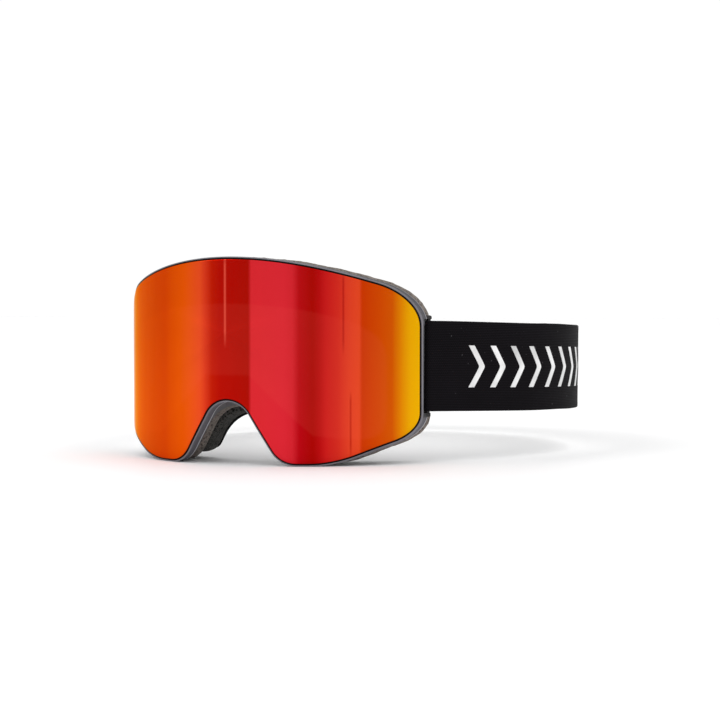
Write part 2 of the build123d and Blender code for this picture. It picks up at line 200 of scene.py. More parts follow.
@dataclass
class Patch:
    """A grid of points, optionally joined to itself either way and closed by a fan at its first or last row.

    Attributes:
        points: (rows, columns, 3) points in millimetres, in the row frame.
        wrap_rows: the last row joins the first.
        wrap_columns: the last column joins the first.
        fan_first: the first row is closed with a fan round its middle.
        fan_last: the same for the last row.
    """

    points: Array
    wrap_rows: bool = False
    wrap_columns: bool = True
    fan_first: bool = False
    fan_last: bool = False

    def uv_axes(self) -> tuple[Array, Array]:
        """Distances along the middle row and the middle column, in metres, wrapped ends included."""
        rows, columns = self.points.shape[:2]
        down = self.points[:, columns // 3]
        along = self.points[rows // 2]
        if self.wrap_rows:
            down = np.concatenate([down, down[:1]])
        if self.wrap_columns:
            along = np.concatenate([along, along[:1]])
        return lengths(down) * MM, lengths(along) * MM

    def faces(self, offset: int) -> tuple[list, Array, Array]:
        """Faces of the patch.

        Args:
            offset: index of the patch's first vertex in the mesh.

        Returns:
            The faces as vertex indices, the UV of every face corner, and the added fan centres.
        """
        rows, columns = self.points.shape[:2]
        i = np.arange(rows if self.wrap_rows else rows - 1)[:, None]
        j = np.arange(columns if self.wrap_columns else columns - 1)[None]
        i, j = np.broadcast_arrays(i, j)
        down, along = self.uv_axes()
        di, dj = np.array([0, 1, 1, 0]), np.array([0, 0, 1, 1])
        ii, jj = i.ravel()[:, None] + di, j.ravel()[:, None] + dj
        quads = offset + (ii % rows) * columns + jj % columns
        uv = np.stack([along[jj], down[ii]], -1).reshape(-1, 2)
        made = quads.tolist()
        centres = []
        for wanted, row, flip in ((self.fan_first, 0, True), (self.fan_last, rows - 1, False)):
            if not wanted:
                continue
            hub = offset + rows * columns + len(centres)
            centres.append(self.points[row].mean(0))
            a = np.arange(columns)
            b = (a + 1) % columns
            ring = np.stack([a, b] if not flip else [b, a], -1) + offset + row * columns
            made += np.column_stack([ring, np.full(columns, hub)]).tolist()
            rim = np.stack([along[a], np.full(columns, down[row])], -1)
            uv = np.concatenate([uv, np.repeat(rim, 3, axis=0)])
        return made, uv, np.array(centres).reshape(-1, 3)


def capped(grid: Array) -> Patch:
    """A tube of points, closed by a fan at each end."""
    return Patch(grid, fan_first=True, fan_last=True)


def slab(top: Array, bottom: Array) -> list[Patch]:
    """A thin closed piece between two open grids: its two faces and the wall round its edge.

    Args:
        top: (rows, columns, 3) outer face.
        bottom: the inner face, the same shape.

    Returns:
        Patches that together close the piece.
    """

    def edge(grid: Array) -> Array:
        return np.concatenate([grid[0], grid[1:, -1], grid[-1, -2::-1], grid[-2:0:-1, 0]])

    wall = np.stack([edge(top), edge(bottom)])
    return [Patch(top, wrap_columns=False), Patch(bottom[:, ::-1], wrap_columns=False), Patch(wall)]


def solid_from(name: str, patches: Iterable[Patch], sharp_deg: float = SHARP_DEG) -> bpy.types.Object:
    """Turns patches into one closed mesh object with smooth faces that point outwards.

    Args:
        name: the object's name.
        patches: the patches, in millimetres.
        sharp_deg: edges that turn more than this stay sharp.

    Returns:
        The object, at the origin, with its place in its mesh.
    """
    vertices: list[Array] = []
    faces: list = []
    uvs: list[Array] = []
    offset = 0
    for patch in patches:
        made, uv, centres = patch.faces(offset)
        block = np.concatenate([patch.points.reshape(-1, 3), centres])
        vertices.append(block)
        faces += made
        uvs.append(uv)
        offset += len(block)
    mesh = bpy.data.meshes.new(name)
    mesh.from_pydata((np.concatenate(vertices) * MM).tolist(), [], faces)
    layer = mesh.uv_layers.new(name="UVMap")
    layer.uv.foreach_set("vector", np.concatenate(uvs).astype(np.float32).ravel())
    obj = bpy.data.objects.new(name, mesh)
    bpy.context.scene.collection.objects.link(obj)
    tidy_mesh(mesh, sharp_deg)
    return obj


def tidy_mesh(mesh: bpy.types.Mesh, sharp_deg: float) -> None:
    """Merges doubled points, turns every closed shell outwards and shades it smooth up to an angle.

    Args:
        mesh: the mesh to tidy.
        sharp_deg: edges that turn more than this stay sharp.
    """
    work = bmesh.new()
    work.from_mesh(mesh)
    bmesh.ops.remove_doubles(work, verts=work.verts, dist=MERGE)
    bmesh.ops.recalc_face_normals(work, faces=work.faces)
    work.to_mesh(mesh)
    work.free()
    mesh.shade_smooth()
    mesh.set_sharp_from_angle(angle=math.radians(sharp_deg))
    mesh.update()


def carve(obj: bpy.types.Object, cutters: Sequence[bpy.types.Object]) -> None:
    """Cuts closed cutters out of a closed piece, then removes the cutters.

    Args:
        obj: the piece to cut.
        cutters: closed meshes to take away from it.
    """
    for cutter in cutters:
        cut = obj.modifiers.new("cut", "BOOLEAN")
        cut.operation = "DIFFERENCE"
        cut.solver = "EXACT"
        cut.object = cutter
    bpy.context.view_layer.update()
    graph = bpy.context.evaluated_depsgraph_get()
    shaped = bpy.data.meshes.new_from_object(obj.evaluated_get(graph))
    obj.modifiers.clear()
    old, obj.data = obj.data, shaped
    shaped.name = old.name
    bpy.data.meshes.remove(old)
    for cutter in cutters:
        bpy.data.objects.remove(cutter)
    tidy_mesh(obj.data, SHARP_DEG)


def wave_noise(points: Array, size: float, seed: int) -> Array:
    """Smooth bumpy values between about -1 and 1: a sum of sine waves in seeded random directions.

    Args:
        points: (..., 3) points in millimetres.
        size: length of a typical wave, in millimetres.
        seed: picks the directions and phases.

    Returns:
        One value per point.
    """
    rng = np.random.default_rng(seed)
    directions = unit(rng.normal(size=(9, 3))) * (2 * math.pi / size) * rng.uniform(0.6, 1.6, (9, 1))
    phases = rng.uniform(0, 2 * math.pi, 9)
    return np.sin(points @ directions.T + phases).sum(-1) / 4.0


# ---------------------------------------------------------------------------------------------------------
# Finishes
# ---------------------------------------------------------------------------------------------------------


def srgb(*levels: float) -> tuple[float, ...]:
    """Screen levels from 0 to 255 turned into linear light, with an alpha of 1 at the end."""
    x = np.asarray(levels, float) / 255
    linear = np.where(x <= 0.04045, x / 12.92, ((x + 0.055) / 1.055) ** 2.4)
    return (*linear.tolist(), 1.0)


def shade(colour: Colour, share: float) -> tuple[float, ...]:
    """A screen colour scaled by a share, as linear light."""
    return srgb(*[c * share for c in colour])


class Tree:
    """A material's node tree, with short helpers that add and link nodes."""

    def __init__(self, name: str) -> None:
        """Starts an empty material with a Principled surface."""
        self.material = bpy.data.materials.new(name)
        self.material.use_nodes = True
        self.nodes = self.material.node_tree.nodes
        self.links = self.material.node_tree.links
        self.surface = self.nodes["Principled BSDF"]
        self.coordinates = self.nodes.new("ShaderNodeTexCoord")

    def add(self, kind: str, **settings: object) -> bpy.types.Node:
        """Adds a node.

        Args:
            kind: the node's type, without the ShaderNode prefix.
            **settings: attributes, or input values given by name with spaces as underscores.

        Returns:
            The node.
        """
        node = self.nodes.new("ShaderNode" + kind)
        for key, value in settings.items():
            if hasattr(node, key):
                setattr(node, key, value)
            else:
                node.inputs[key.replace("_", " ")].default_value = value
        return node

    def link(self, source: Socket, target: Socket) -> None:
        """Links two sockets."""
        self.links.new(source, target)

    def place(self, scale: Sequence[float] = (1, 1, 1)) -> Socket:
        """Object coordinates, scaled."""
        mapping = self.add("Mapping")
        mapping.inputs["Scale"].default_value = scale
        self.link(self.coordinates.outputs["Object"], mapping.inputs["Vector"])
        return mapping.outputs["Vector"]

    def parts(self, kind: str = "Object") -> list[Socket]:
        """The three components of a kind of coordinates."""
        split = self.add("SeparateXYZ")
        self.link(self.coordinates.outputs[kind], split.inputs[0])
        return list(split.outputs)

    def noise(self, vector: Socket, scale: float, detail: float = 3.0) -> Socket:
        """A noise value between 0 and 1."""
        node = self.add("TexNoise", Scale=scale, Detail=detail)
        self.link(vector, node.inputs["Vector"])
        return node.outputs["Fac"]

    def cells(self, vector: Socket, scale: float) -> Socket:
        """Distance to the nearest cell centre of a Voronoi pattern."""
        node = self.add("TexVoronoi", Scale=scale)
        self.link(vector, node.inputs["Vector"])
        return node.outputs["Distance"]

    def math(self, operation: str, a: object, b: object = 0.5) -> Socket:
        """One arithmetic step on sockets or numbers."""
        node = self.add("Math", operation=operation)
        for socket, value in zip(node.inputs, (a, b)):
            if isinstance(value, (int, float)):
                socket.default_value = value
            else:
                self.link(value, socket)
        return node.outputs[0]

    def times(self, a: object, b: object) -> Socket:
        """a * b."""
        return self.math("MULTIPLY", a, b)

    def less(self, a: object, b: object) -> Socket:
        """a - b."""
        return self.math("SUBTRACT", a, b)

    def size(self, a: object) -> Socket:
        """The value without its sign."""
        return self.math("ABSOLUTE", a, 0.0)

    def span(self, value: object, low: float, high: float, to_low: float, to_high: float) -> Socket:
        """Maps a value from one range onto another, held at the ends."""
        node = self.add("MapRange")
        for socket, number in zip(list(node.inputs)[1:5], (low, high, to_low, to_high)):
            socket.default_value = number
        self.link(value, node.inputs[0])
        return node.outputs[0]

    def ramp(self, value: object, stops: Sequence[tuple[float, Sequence[float]]]) -> object:
        """A colour ramp through (place, colour) stops."""
        node = self.add("ValToRGB")
        items = node.color_ramp.elements
        while len(items) < len(stops):
            items.new(0.5)
        for item, (where, _) in zip(items, stops):
            item.position = where
        for item, (_, colour) in zip(items, stops):
            item.color = colour
        self.link(value, node.inputs[0])
        return node.outputs["Color"]

    def mix(self, share: object, a: object, b: object) -> Socket:
        """Mixes two colours, each a socket or a tuple, by a share."""
        node = self.add("Mix", data_type="RGBA")
        for socket, value in zip((node.inputs[0], node.inputs[6], node.inputs[7]), (share, a, b)):
            if isinstance(value, (int, float, tuple)):
                socket.default_value = value
            else:
                self.link(value, socket)
        return node.outputs[2]

    def bump(self, height: Socket, distance: float, strength: float) -> Socket:
        """A bump from a height, its distance in metres of depth."""
        node = self.add("Bump", Strength=strength, Distance=distance)
        self.link(height, node.inputs["Height"])
        return node.outputs["Normal"]

    def finish(self, colour: object, roughness: object, normal: object = None, **constants: float) -> object:
        """Wires the surface and sets its constants.

        Args:
            colour: socket or tuple for the base colour.
            roughness: socket or number.
            normal: optional normal socket.
            **constants: Principled inputs by name, spaces as underscores.

        Returns:
            The material.
        """
        for key, value in (("Base Color", colour), ("Roughness", roughness), ("Normal", normal)):
            if value is None:
                continue
            if isinstance(value, (int, float, tuple)):
                self.surface.inputs[key].default_value = value
            else:
                self.link(value, self.surface.inputs[key])
        for key, value in constants.items():
            self.surface.inputs[key.replace("_", " ")].default_value = value
        return self.material


@dataclass(frozen=True)
class Streak:
    """A thin upright painted reflection streak over the mirror coating.

    Attributes:
        angle: its place round the lens's cylinder, in degrees.
        half: half its width, in degrees.
        low: height of its lower end above the lens's middle, in millimetres.
        high: height of its upper end.
        colour: screen colour.
        share: how strongly it shows, from 0 to 1.
    """

    angle: float
    half: float
    low: float
    high: float
    colour: Colour
    share: float


@dataclass(frozen=True)
class MirrorLens:
    """The lens's mirror coating: colour bands that run with the angle round the lens's cylinder, the coating's
    red-to-orange colour with painted reflections of soft lights in it.

    Attributes:
        name: the material's name.
        centre_y: Y of the cylinder's axis, in metres.
        middle_z: height of the lens's middle, in metres.
        bands: (angle in degrees, screen colour) from the wearer's right to left, coating colour with painted
            reflections of soft lights.
        streaks: thin painted reflection streaks over the bands.
    """

    name: str
    centre_y: float
    middle_z: float
    bands: tuple[tuple[float, Colour], ...]
    streaks: tuple[Streak, ...]

    def build(self) -> bpy.types.Material:
        """The material: a metallic ramp of coating colours and painted reflections over atan2(x, axis y - y),
        with painted reflection streaks and a faint painted glow where the face opening lies behind the lens.
        """
        t = Tree(self.name)
        x, y, z = t.parts()
        height = t.less(z, self.middle_z)
        angle = t.math("ARCTAN2", x, t.less(self.centre_y, y))
        # coating colour by angle, with painted reflections of soft lights in the ramp
        first, last = self.bands[0][0], self.bands[-1][0]
        share = t.span(angle, math.radians(first), math.radians(last), 0.0, 1.0)
        colour = t.ramp(share, [((a - first) / (last - first), srgb(*c)) for a, c in self.bands])
        # painted reflection streaks over the bands
        for streak in self.streaks:
            at = math.radians(streak.angle)
            off = t.size(t.less(angle, at))
            thin = t.span(off, 0.0, math.radians(streak.half), streak.share, 0.0)
            over = t.span(height, streak.low * MM, (streak.low + 9) * MM, 0.0, 1.0)
            under = t.span(height, (streak.high - 5) * MM, streak.high * MM, 1.0, 0.0)
            colour = t.mix(t.times(thin, t.times(over, under)), colour, srgb(*streak.colour))
        # painted light: a faint pale glow where the face opening lies behind the lens
        colour = t.mix(self.opening(t, x, height), colour, srgb(255, 110, 90))
        cloud = t.noise(t.place(scale=(1, 1, 0.3)), 26.0, 2.0)
        colour = t.mix(t.span(cloud, 0.35, 0.65, 0.0, 0.02), colour, srgb(255, 120, 60))
        streaky = t.noise(t.place(scale=(60, 60, 0.8)), 3.0, 1.0)
        roughness = t.span(streaky, 0.3, 0.7, 0.16, 0.21)
        normal = t.bump(t.noise(t.place(), 35.0, 0.0), 0.0001, 0.25)
        edge_tint = (1.0, 0.5, 0.0, 1.0)
        return t.finish(colour, roughness, normal, Metallic=1.0, Specular_Tint=edge_tint, Coat_Weight=0.03)

    def opening(self, t: Tree, x: object, height: object) -> object:
        """Share of a painted pale glow where the face opening lies behind the coating, standing in for light
        seen through the lens.

        Inside |x / 71|^6 + |h / 30|^6 < 1, where h is the height raised by 2.2 x^2, and outside the nose's
        trapezium, whose top is 5 mm below the middle and whose sides fall at 44 degrees from |x| = 12 mm.

        Args:
            t: the material's tree.
            x: distance to the left, in metres.
            height: height above the lens's middle, in metres.

        Returns:
            A socket from 0 to a few hundredths.
        """
        across = t.size(x)
        raised = t.math("ADD", height, t.times(t.times(x, x), 2.2))
        wide = t.math("POWER", t.math("DIVIDE", across, 0.071), 6.0)
        tall = t.math("POWER", t.math("DIVIDE", t.size(raised), 0.030), 6.0)
        inside = t.span(t.math("ADD", wide, tall), 0.93, 1.07, 1.0, 0.0)
        fall = t.times(t.less(across, 0.012), 0.97)
        floor = t.less(-0.0047, t.math("MAXIMUM", fall, 0.0))
        above = t.span(t.less(height, floor), -0.0006, 0.0006, 0.0, 1.0)
        return t.times(t.times(inside, above), 0.032)


@dataclass(frozen=True)
class Moulded:
    """Moulded plastic or soft rubber: a fine-grained, slightly uneven surface, paler on its sharp convex
    edges.

    Attributes:
        name: the material's name.
        colour: screen colour.
        roughness: middle roughness.
        grain: depth of the grain in metres.
        coarse: grain cells per metre.
        pale_edges: how much paler the raised edges are, from 0 to 1.
        coat: weight of a glossy skin.
        shine: how strongly the surface itself reflects, 0.5 being usual plastic.
    """

    name: str
    colour: Colour
    roughness: float = 0.5
    grain: float = 0.00004
    coarse: float = 1400.0
    pale_edges: float = 0.25
    coat: float = 0.0
    shine: float = 0.5

    def build(self) -> bpy.types.Material:
        """The material: cell grain for the bump, cloudy roughness, and pale edges from pointiness."""
        t = Tree(self.name)
        grain = t.noise(t.place(), self.coarse, 2.0)
        cloud = t.noise(t.place(), 60.0, 4.0)
        base = srgb(*self.colour)
        pale = srgb(*[min(255.0, c * 1.35 + 16) for c in self.colour])
        dark = shade(self.colour, 0.82)
        colour = t.mix(t.span(cloud, 0.35, 0.65, 0.0, 1.0), base, dark)
        # paler on sharp convex edges, found by pointiness
        edge = t.span(t.add("NewGeometry").outputs["Pointiness"], 0.52, 0.62, 0.0, self.pale_edges)
        colour = t.mix(edge, colour, pale)
        roughness = t.span(cloud, 0.3, 0.7, self.roughness - 0.07, self.roughness + 0.07)
        normal = t.bump(grain, self.grain, 0.6)
        skin = {"Coat_Weight": self.coat, "Coat_Roughness": 0.12, "Specular_IOR_Level": self.shine}
        return t.finish(colour, roughness, normal, **skin)


@dataclass(frozen=True)
class FrameRubber:
    """The frame's soft rubber: a rim next to the lens with a painted highlight, fine grooves on its band and a
    smooth flank in painted tones, a painted highlight on the ridge, and painted shade on its top and beside
    the strap.

    Attributes:
        name: the material's name.
        front_y: Y of the lens's front at its middle, in metres.
        radius: radius of the lens's cylinder, in metres.
        strap_z: height of the strap's middle at the frame, in metres.
        rim: screen colour of the rim, a painted highlight where its rounded front catches the light.
        band: screen colour of the grooved band; band and flank are painted tones of one rubber under different
            light.
        flank: screen colour behind the ridge, the same rubber in a painted darker tone.
    """

    name: str
    front_y: float
    radius: float
    strap_z: float
    rim: Colour = (122, 119, 126)
    band: Colour = (86, 84, 92)
    flank: Colour = (80, 78, 81)

    def build(self) -> bpy.types.Material:
        """The material, by the depth behind the lens front: y - front y - (R - sqrt(R^2 - x^2)); its rim, band
        and flank tones, the ridge's highlight and the darker top and strap edge are painted light and shade.
        """
        t = Tree(self.name)
        x, y, z = t.parts()
        inner = t.less(self.radius**2, t.times(x, x))
        curve = t.less(self.radius + self.front_y, t.math("SQRT", t.math("MAXIMUM", inner, 0.0), 0.0))
        depth = t.less(y, curve)
        # painted highlight: the rim tone on the front edge, then the band's painted tone
        colour = t.mix(t.span(depth, 0.0012, 0.0018, 0.0, 1.0), srgb(*self.rim), srgb(*self.band))
        # the flank behind the ridge in a painted darker tone
        colour = t.mix(t.span(depth, 0.0064, 0.0074, 0.0, 1.0), colour, srgb(*self.flank))
        # painted highlight along the ridge at 7.1 mm depth
        ridge = t.size(t.less(depth, 0.0071))
        colour = t.mix(t.span(ridge, 0.0001, 0.0006, 0.85, 0.0), colour, srgb(214, 213, 219))
        behind = t.span(depth, 0.0013, 0.0017, 0.0, 1.0)
        # painted shade: the frame behind the rim darker towards the top, from 55 to 85 mm up
        high = t.times(t.span(z, 0.055, 0.085, 0.0, 0.6), behind)
        colour = t.mix(high, colour, srgb(44, 42, 45))
        # painted shade: near-black on the frame behind the rim, beside the strap where it meets the frame
        off_strap = t.size(t.less(z, self.strap_z))
        painted_strap_shade = t.times(t.span(off_strap, 0.0225, 0.0235, 1.0, 0.0), behind)
        outward = t.span(t.size(x), 0.076, 0.078, 0.0, 0.92)
        colour = t.mix(t.times(painted_strap_shade, outward), colour, srgb(12, 12, 13))
        cloud = t.noise(t.place(), 60.0, 4.0)
        colour = t.mix(t.span(cloud, 0.35, 0.65, 0.0, 0.25), colour, srgb(58, 57, 62))
        groove = t.math("SINE", t.times(depth, 2 * math.pi / 0.0011), 0.0)
        on_band = t.times(t.span(depth, 0.0018, 0.0024, 0, 1), t.span(depth, 0.0058, 0.0064, 1, 0))
        grain = t.noise(t.place(), 1800.0, 2.0)
        height = t.math("ADD", t.times(groove, on_band), t.times(grain, 0.4))
        roughness = t.span(cloud, 0.3, 0.7, 0.38, 0.5)
        return t.finish(colour, roughness, t.bump(height, 0.00006, 0.6), Specular_IOR_Level=0.3)


@dataclass(frozen=True)
class CellFoam:
    """Cut open-cell foam: pits of two sizes painted darker as shade, and speckled colour.

    Attributes:
        name: the material's name.
        colour: screen colour of the cell walls.
        pit: screen colour in the pits, painted shade.
        cell: cell size in metres.
        depth: depth of the pits in metres.
        bloom: weight of the pale sheen that its loose cell walls give at a glance.
    """

    name: str
    colour: Colour
    pit: Colour
    cell: float = 0.0011
    depth: float = 0.0004
    bloom: float = 0.05

    def build(self) -> bpy.types.Material:
        """The material: two Voronoi patterns for the pits, the deepest ones painted darker as shade."""
        t = Tree(self.name)
        where = t.place()
        fine = t.cells(where, 1.0 / self.cell)
        large = t.cells(where, 0.6 / self.cell)
        cloud = t.noise(where, 90.0, 5.0)
        wall = t.span(fine, 0.15, 0.62, 0.0, 1.0)
        holes = t.span(large, 0.10, 0.40, 0.0, 1.0)
        height = t.times(wall, holes)
        # painted shade in the pits: darker where the cells sink
        colour = t.mix(t.span(height, 0.05, 0.75, 0.0, 1.0), srgb(*self.pit), srgb(*self.colour))
        tint = shade(self.colour, 0.86)
        colour = t.mix(t.span(cloud, 0.38, 0.62, 0.0, 0.7), colour, tint)
        normal = t.bump(height, self.depth, 0.8)
        return t.finish(
            colour, 0.95, normal, Specular_IOR_Level=0.04, Sheen_Weight=self.bloom, Sheen_Roughness=0.35
        )


@dataclass(frozen=True)
class Fleece:
    """Brushed fleece: tangled short fibres with a soft sheen, a painted highlight on the raised fibres and
    painted shade between the tufts.

    Attributes:
        name: the material's name.
        colour: screen colour.
        fluff: screen colour of the raised fibres, a painted highlight.
    """

    name: str
    colour: Colour
    fluff: Colour

    def build(self) -> bpy.types.Material:
        """The material: stretched noise for the fibres over rounder noise for the tufts; raised fibres painted
        paler, hollows between tufts painted darker.
        """
        t = Tree(self.name)
        fibre_a = t.noise(t.place(scale=(1, 0.25, 1)), 2600.0, 3.0)
        fibre_b = t.noise(t.place(scale=(0.25, 1, 0.4)), 2300.0, 3.0)
        tuft = t.noise(t.place(), 420.0, 4.0)
        fibres = t.math("MAXIMUM", fibre_a, fibre_b)
        height = t.math("ADD", t.times(fibres, 0.5), tuft)
        # painted highlight: paler where the fibres stand highest
        colour = t.mix(t.span(fibres, 0.5, 0.75, 0.0, 1.0), srgb(*self.colour), srgb(*self.fluff))
        # painted shade: darker in the hollows between the tufts
        colour = t.mix(t.span(tuft, 0.35, 0.55, 0.45, 0.0), colour, shade(self.colour, 0.5))
        normal = t.bump(height, 0.0007, 0.8)
        return t.finish(colour, 1.0, normal, Specular_IOR_Level=0.03, Sheen_Weight=0.06, Sheen_Roughness=0.5)


@dataclass(frozen=True)
class Webbing:
    """Knitted elastic webbing: fine ribs along its length crossed by rows of stitches, with selvedges.

    Attributes:
        name: the material's name.
        colour: screen colour of the yarn.
        pale: screen colour of the yarn's lit tops.
        rib: width of a rib in metres.
    """

    name: str
    colour: Colour
    pale: Colour
    rib: float = 0.00085

    def build(self) -> bpy.types.Material:
        """The material, on the piece's UV map: u runs along the strap and v across it, in metres.

        The ribs are waves across v; each rib's stitches are waves along u, half a stitch out of step with
        the next rib.
        """
        t = Tree(self.name)
        u, v, _ = t.parts("UV")
        rows = t.times(v, 2 * math.pi / self.rib)
        rib = t.size(t.math("SINE", t.times(rows, 0.5)))
        step = t.times(t.math("FLOOR", t.math("DIVIDE", rows, 2 * math.pi)), math.pi)
        stitch_wave = t.math("SINE", t.math("ADD", t.times(u, 2 * math.pi / (self.rib * 1.3)), step))
        stitch = t.span(stitch_wave, -1.0, 1.0, 0.45, 1.0)
        weave = t.times(rib, stitch)
        fuzz = t.noise(t.place(), 2500.0, 3.0)
        cloud = t.noise(t.place(), 40.0, 4.0)
        lint = t.span(t.noise(t.place(), 520.0, 1.0), 0.76, 0.80, 0.0, 0.35)
        height = t.math("ADD", weave, t.times(fuzz, 0.35))
        colour = t.mix(t.span(height, 0.35, 1.25, 0.0, 1.0), srgb(*self.colour), srgb(*self.pale))
        colour = t.mix(t.span(cloud, 0.35, 0.65, 0.0, 0.35), colour, shade(self.colour, 1.5))
        colour = t.mix(lint, colour, srgb(120, 118, 122))
        normal = t.bump(height, 0.00018, 0.7)
        return t.finish(colour, 0.85, normal, Specular_IOR_Level=0.03, Sheen_Weight=0.05, Sheen_Roughness=0.35)


@dataclass(frozen=True)
class Metal:
    """Plated or brushed metal.

    Attributes:
        name: the material's name.
        colour: screen colour.
        roughness: middle roughness.
    """

    name: str
    colour: Colour
    roughness: float = 0.3

    def build(self) -> bpy.types.Material:
        """The material: fine scratches across Z, and cloudy roughness."""
        t = Tree(self.name)
        scratch = t.noise(t.place(scale=(0.15, 0.15, 1.0)), 3000.0, 2.0)
        cloud = t.noise(t.place(), 300.0, 3.0)
        colour = t.mix(t.span(cloud, 0.3, 0.7, 0.0, 0.5), srgb(*self.colour), shade(self.colour, 0.8))
        roughness = t.span(scratch, 0.3, 0.7, self.roughness - 0.08, self.roughness + 0.1)
        return t.finish(colour, roughness, t.bump(scratch, 0.00003, 0.4), Metallic=1.0)


# ---------------------------------------------------------------------------------------------------------
# The lens's outline, and the strap's loop
# ---------------------------------------------------------------------------------------------------------


@dataclass(frozen=True)
class LensOutline:
    """The lens seen from in front, in millimetres from the middle of the lens front, and its cylinder.

    A crown arc, upright sides with round corners, sloped cheeks, flat-bottomed lobes and a round nose arch.
    """

    lens_r: float = 94.0
    face_r: float = 98.5
    half_width: float = 81.8
    crown_z: float = 51.7
    crown_r: float = 190.0
    lobe_z: float = -47.4
    knee_x: float = 50.3
    slope: float = math.radians(24.6)
    peak_z: float = -3.6
    nose_half: float = math.radians(32.0)
    brow_r: float = 22.0
    heel_r: float = 14.0
    knee_r: float = 49.0
    toe_r: float = 13.0
    nose_r: float = 14.5
    base_nose_r: float = 19.6
    face_nose_r: float = 23.6
    lining_nose_r: float = 24.7
    foam_nose_grow: float = -1.0
    smallest_r: float = 3.0
    side_share: float = 0.7
    apex: Vector = field(default_factory=lambda: Vector((0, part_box("outer_lens")[0].y / MM, 0)))

    @property
    def eye_z(self) -> float:
        """Height of the lens front's middle above the standing surface."""
        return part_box("outer_lens")[0].z / MM - self.lobe_z

    def rows(
        self, grow: Array, nose_r: Array, narrow: Array, nose_grow: Optional[Array] = None, drop: float = 0.0
    ) -> Array:
        """The outline at several margins, each as one closed row of points in the same order.

        Every corner of the outline is a tangent arc, and the runs between the arcs are straight; a margin
        moves the runs and changes the arcs' radii.

        Args:
            grow: (M,) margins outside the lens's edge.
            nose_r: (M,) radii of the nose arch at no margin.
            narrow: (M,) how far the sides are drawn in beyond the margin.
            nose_grow: (M,) margins at the nose, where they differ.
            drop: how much lower the lobes' bottoms are than the margin alone makes them.

        Returns:
            (M, N, 2) points as (x, z).
        """
        nose_grow = grow if nose_grow is None else nose_grow
        grow, nose_r, narrow, nose_grow = np.broadcast_arrays(*np.atleast_1d(grow, nose_r, narrow, nose_grow))
        zero = np.zeros_like(grow, float)
        side = self.half_width + grow * self.side_share - narrow
        low = self.lobe_z - grow - drop
        peak = np.stack([zero, self.peak_z - nose_grow / math.sin(self.nose_half)], -1)
        knee = np.stack([self.knee_x + grow * math.tan(self.slope / 2), low], -1)
        heel = np.stack([side, low + (side - knee[:, 0]) * math.tan(self.slope)], -1)
        toe = np.stack([(peak[:, 1] - low) * math.tan(self.nose_half), low], -1)

        crown_r = self.crown_r + grow
        hub = np.stack([zero, zero + self.crown_z - self.crown_r], -1)
        brow_r = np.maximum(self.brow_r + grow, self.smallest_r)
        brow_z = hub[:, 1] + np.sqrt((crown_r - brow_r) ** 2 - (side - brow_r) ** 2)
        brow_centre = np.stack([side - brow_r, brow_z], -1)
        lean = np.arctan2(brow_centre[:, 1] - hub[:, 1], brow_centre[:, 0])
        crown = arc(hub, crown_r, zero + math.pi / 2, lean - math.pi / 2, 48)
        brow = arc(brow_centre, brow_r, lean, -lean, 20)

        def corner(before: Array, at: Array, after: Array, radius: float, count: int) -> Array:
            return rounded_corner(before, at, after, np.maximum(radius + grow, self.smallest_r), count)

        above = np.stack([side, heel[:, 1] + 60], -1)
        heel_arc = corner(above, heel, knee, self.heel_r, 14)
        knee_arc = corner(heel, knee, toe, self.knee_r, 12)
        toe_arc = corner(knee, toe, peak, self.toe_r, 16)
        arch_r = nose_r - nose_grow
        arch_centre = np.stack([zero, peak[:, 1] - arch_r / math.sin(self.nose_half)], -1)
        arch = arc(arch_centre, arch_r, zero + self.nose_half, zero + math.pi / 2 - self.nose_half, 26)
        right = np.concatenate(
            [
                crown,
                brow[:, 1:],
                between(brow[:, -1], heel_arc[:, 0], 20),
                heel_arc,
                between(heel_arc[:, -1], knee_arc[:, 0], 16),
                knee_arc,
                between(knee_arc[:, -1], toe_arc[:, 0], 4),
                toe_arc,
                between(toe_arc[:, -1], arch[:, 0], 12),
                arch,
            ],
            axis=1,
        )
        left = right[:, -2:0:-1] * np.array([-1.0, 1.0])
        return np.concatenate([right, left], axis=1)

    def on_lens(self, xz: Array, depth: Array, normal: bool = False, face: Array = 0.0) -> Array:
        """Places front-view points at a depth behind the lens front.

        The surface is y = R - sqrt(R^2 - x^2) + depth on the lens's cylinder, or on a shell inside it where
        normal is set, and turns into the flatter face curve by the share given in face.

        Args:
            xz: (..., 2) points.
            depth: depths in millimetres, one per row.
            normal: measure the depth at right angles to the lens instead of straight back.
            face: share of the face curve, from 0 to 1, one per row.

        Returns:
            (..., 3) points in the row frame, in millimetres.
        """
        depth = np.asarray(depth, float)
        face = np.asarray(face, float)
        if xz.ndim == 3:
            depth, face = depth.reshape(-1, 1), face.reshape(-1, 1)
        x, z = xz[..., 0], xz[..., 1]
        if normal:
            y = self.lens_r - np.sqrt(np.maximum((self.lens_r - depth) ** 2 - x**2, 0.0))
        else:
            y = sag(self.lens_r, x) + depth
        flat = sag(self.face_r, x) + depth
        y = y + (flat - y) * face
        return np.stack([x, y + self.apex.y, z + self.eye_z], -1)

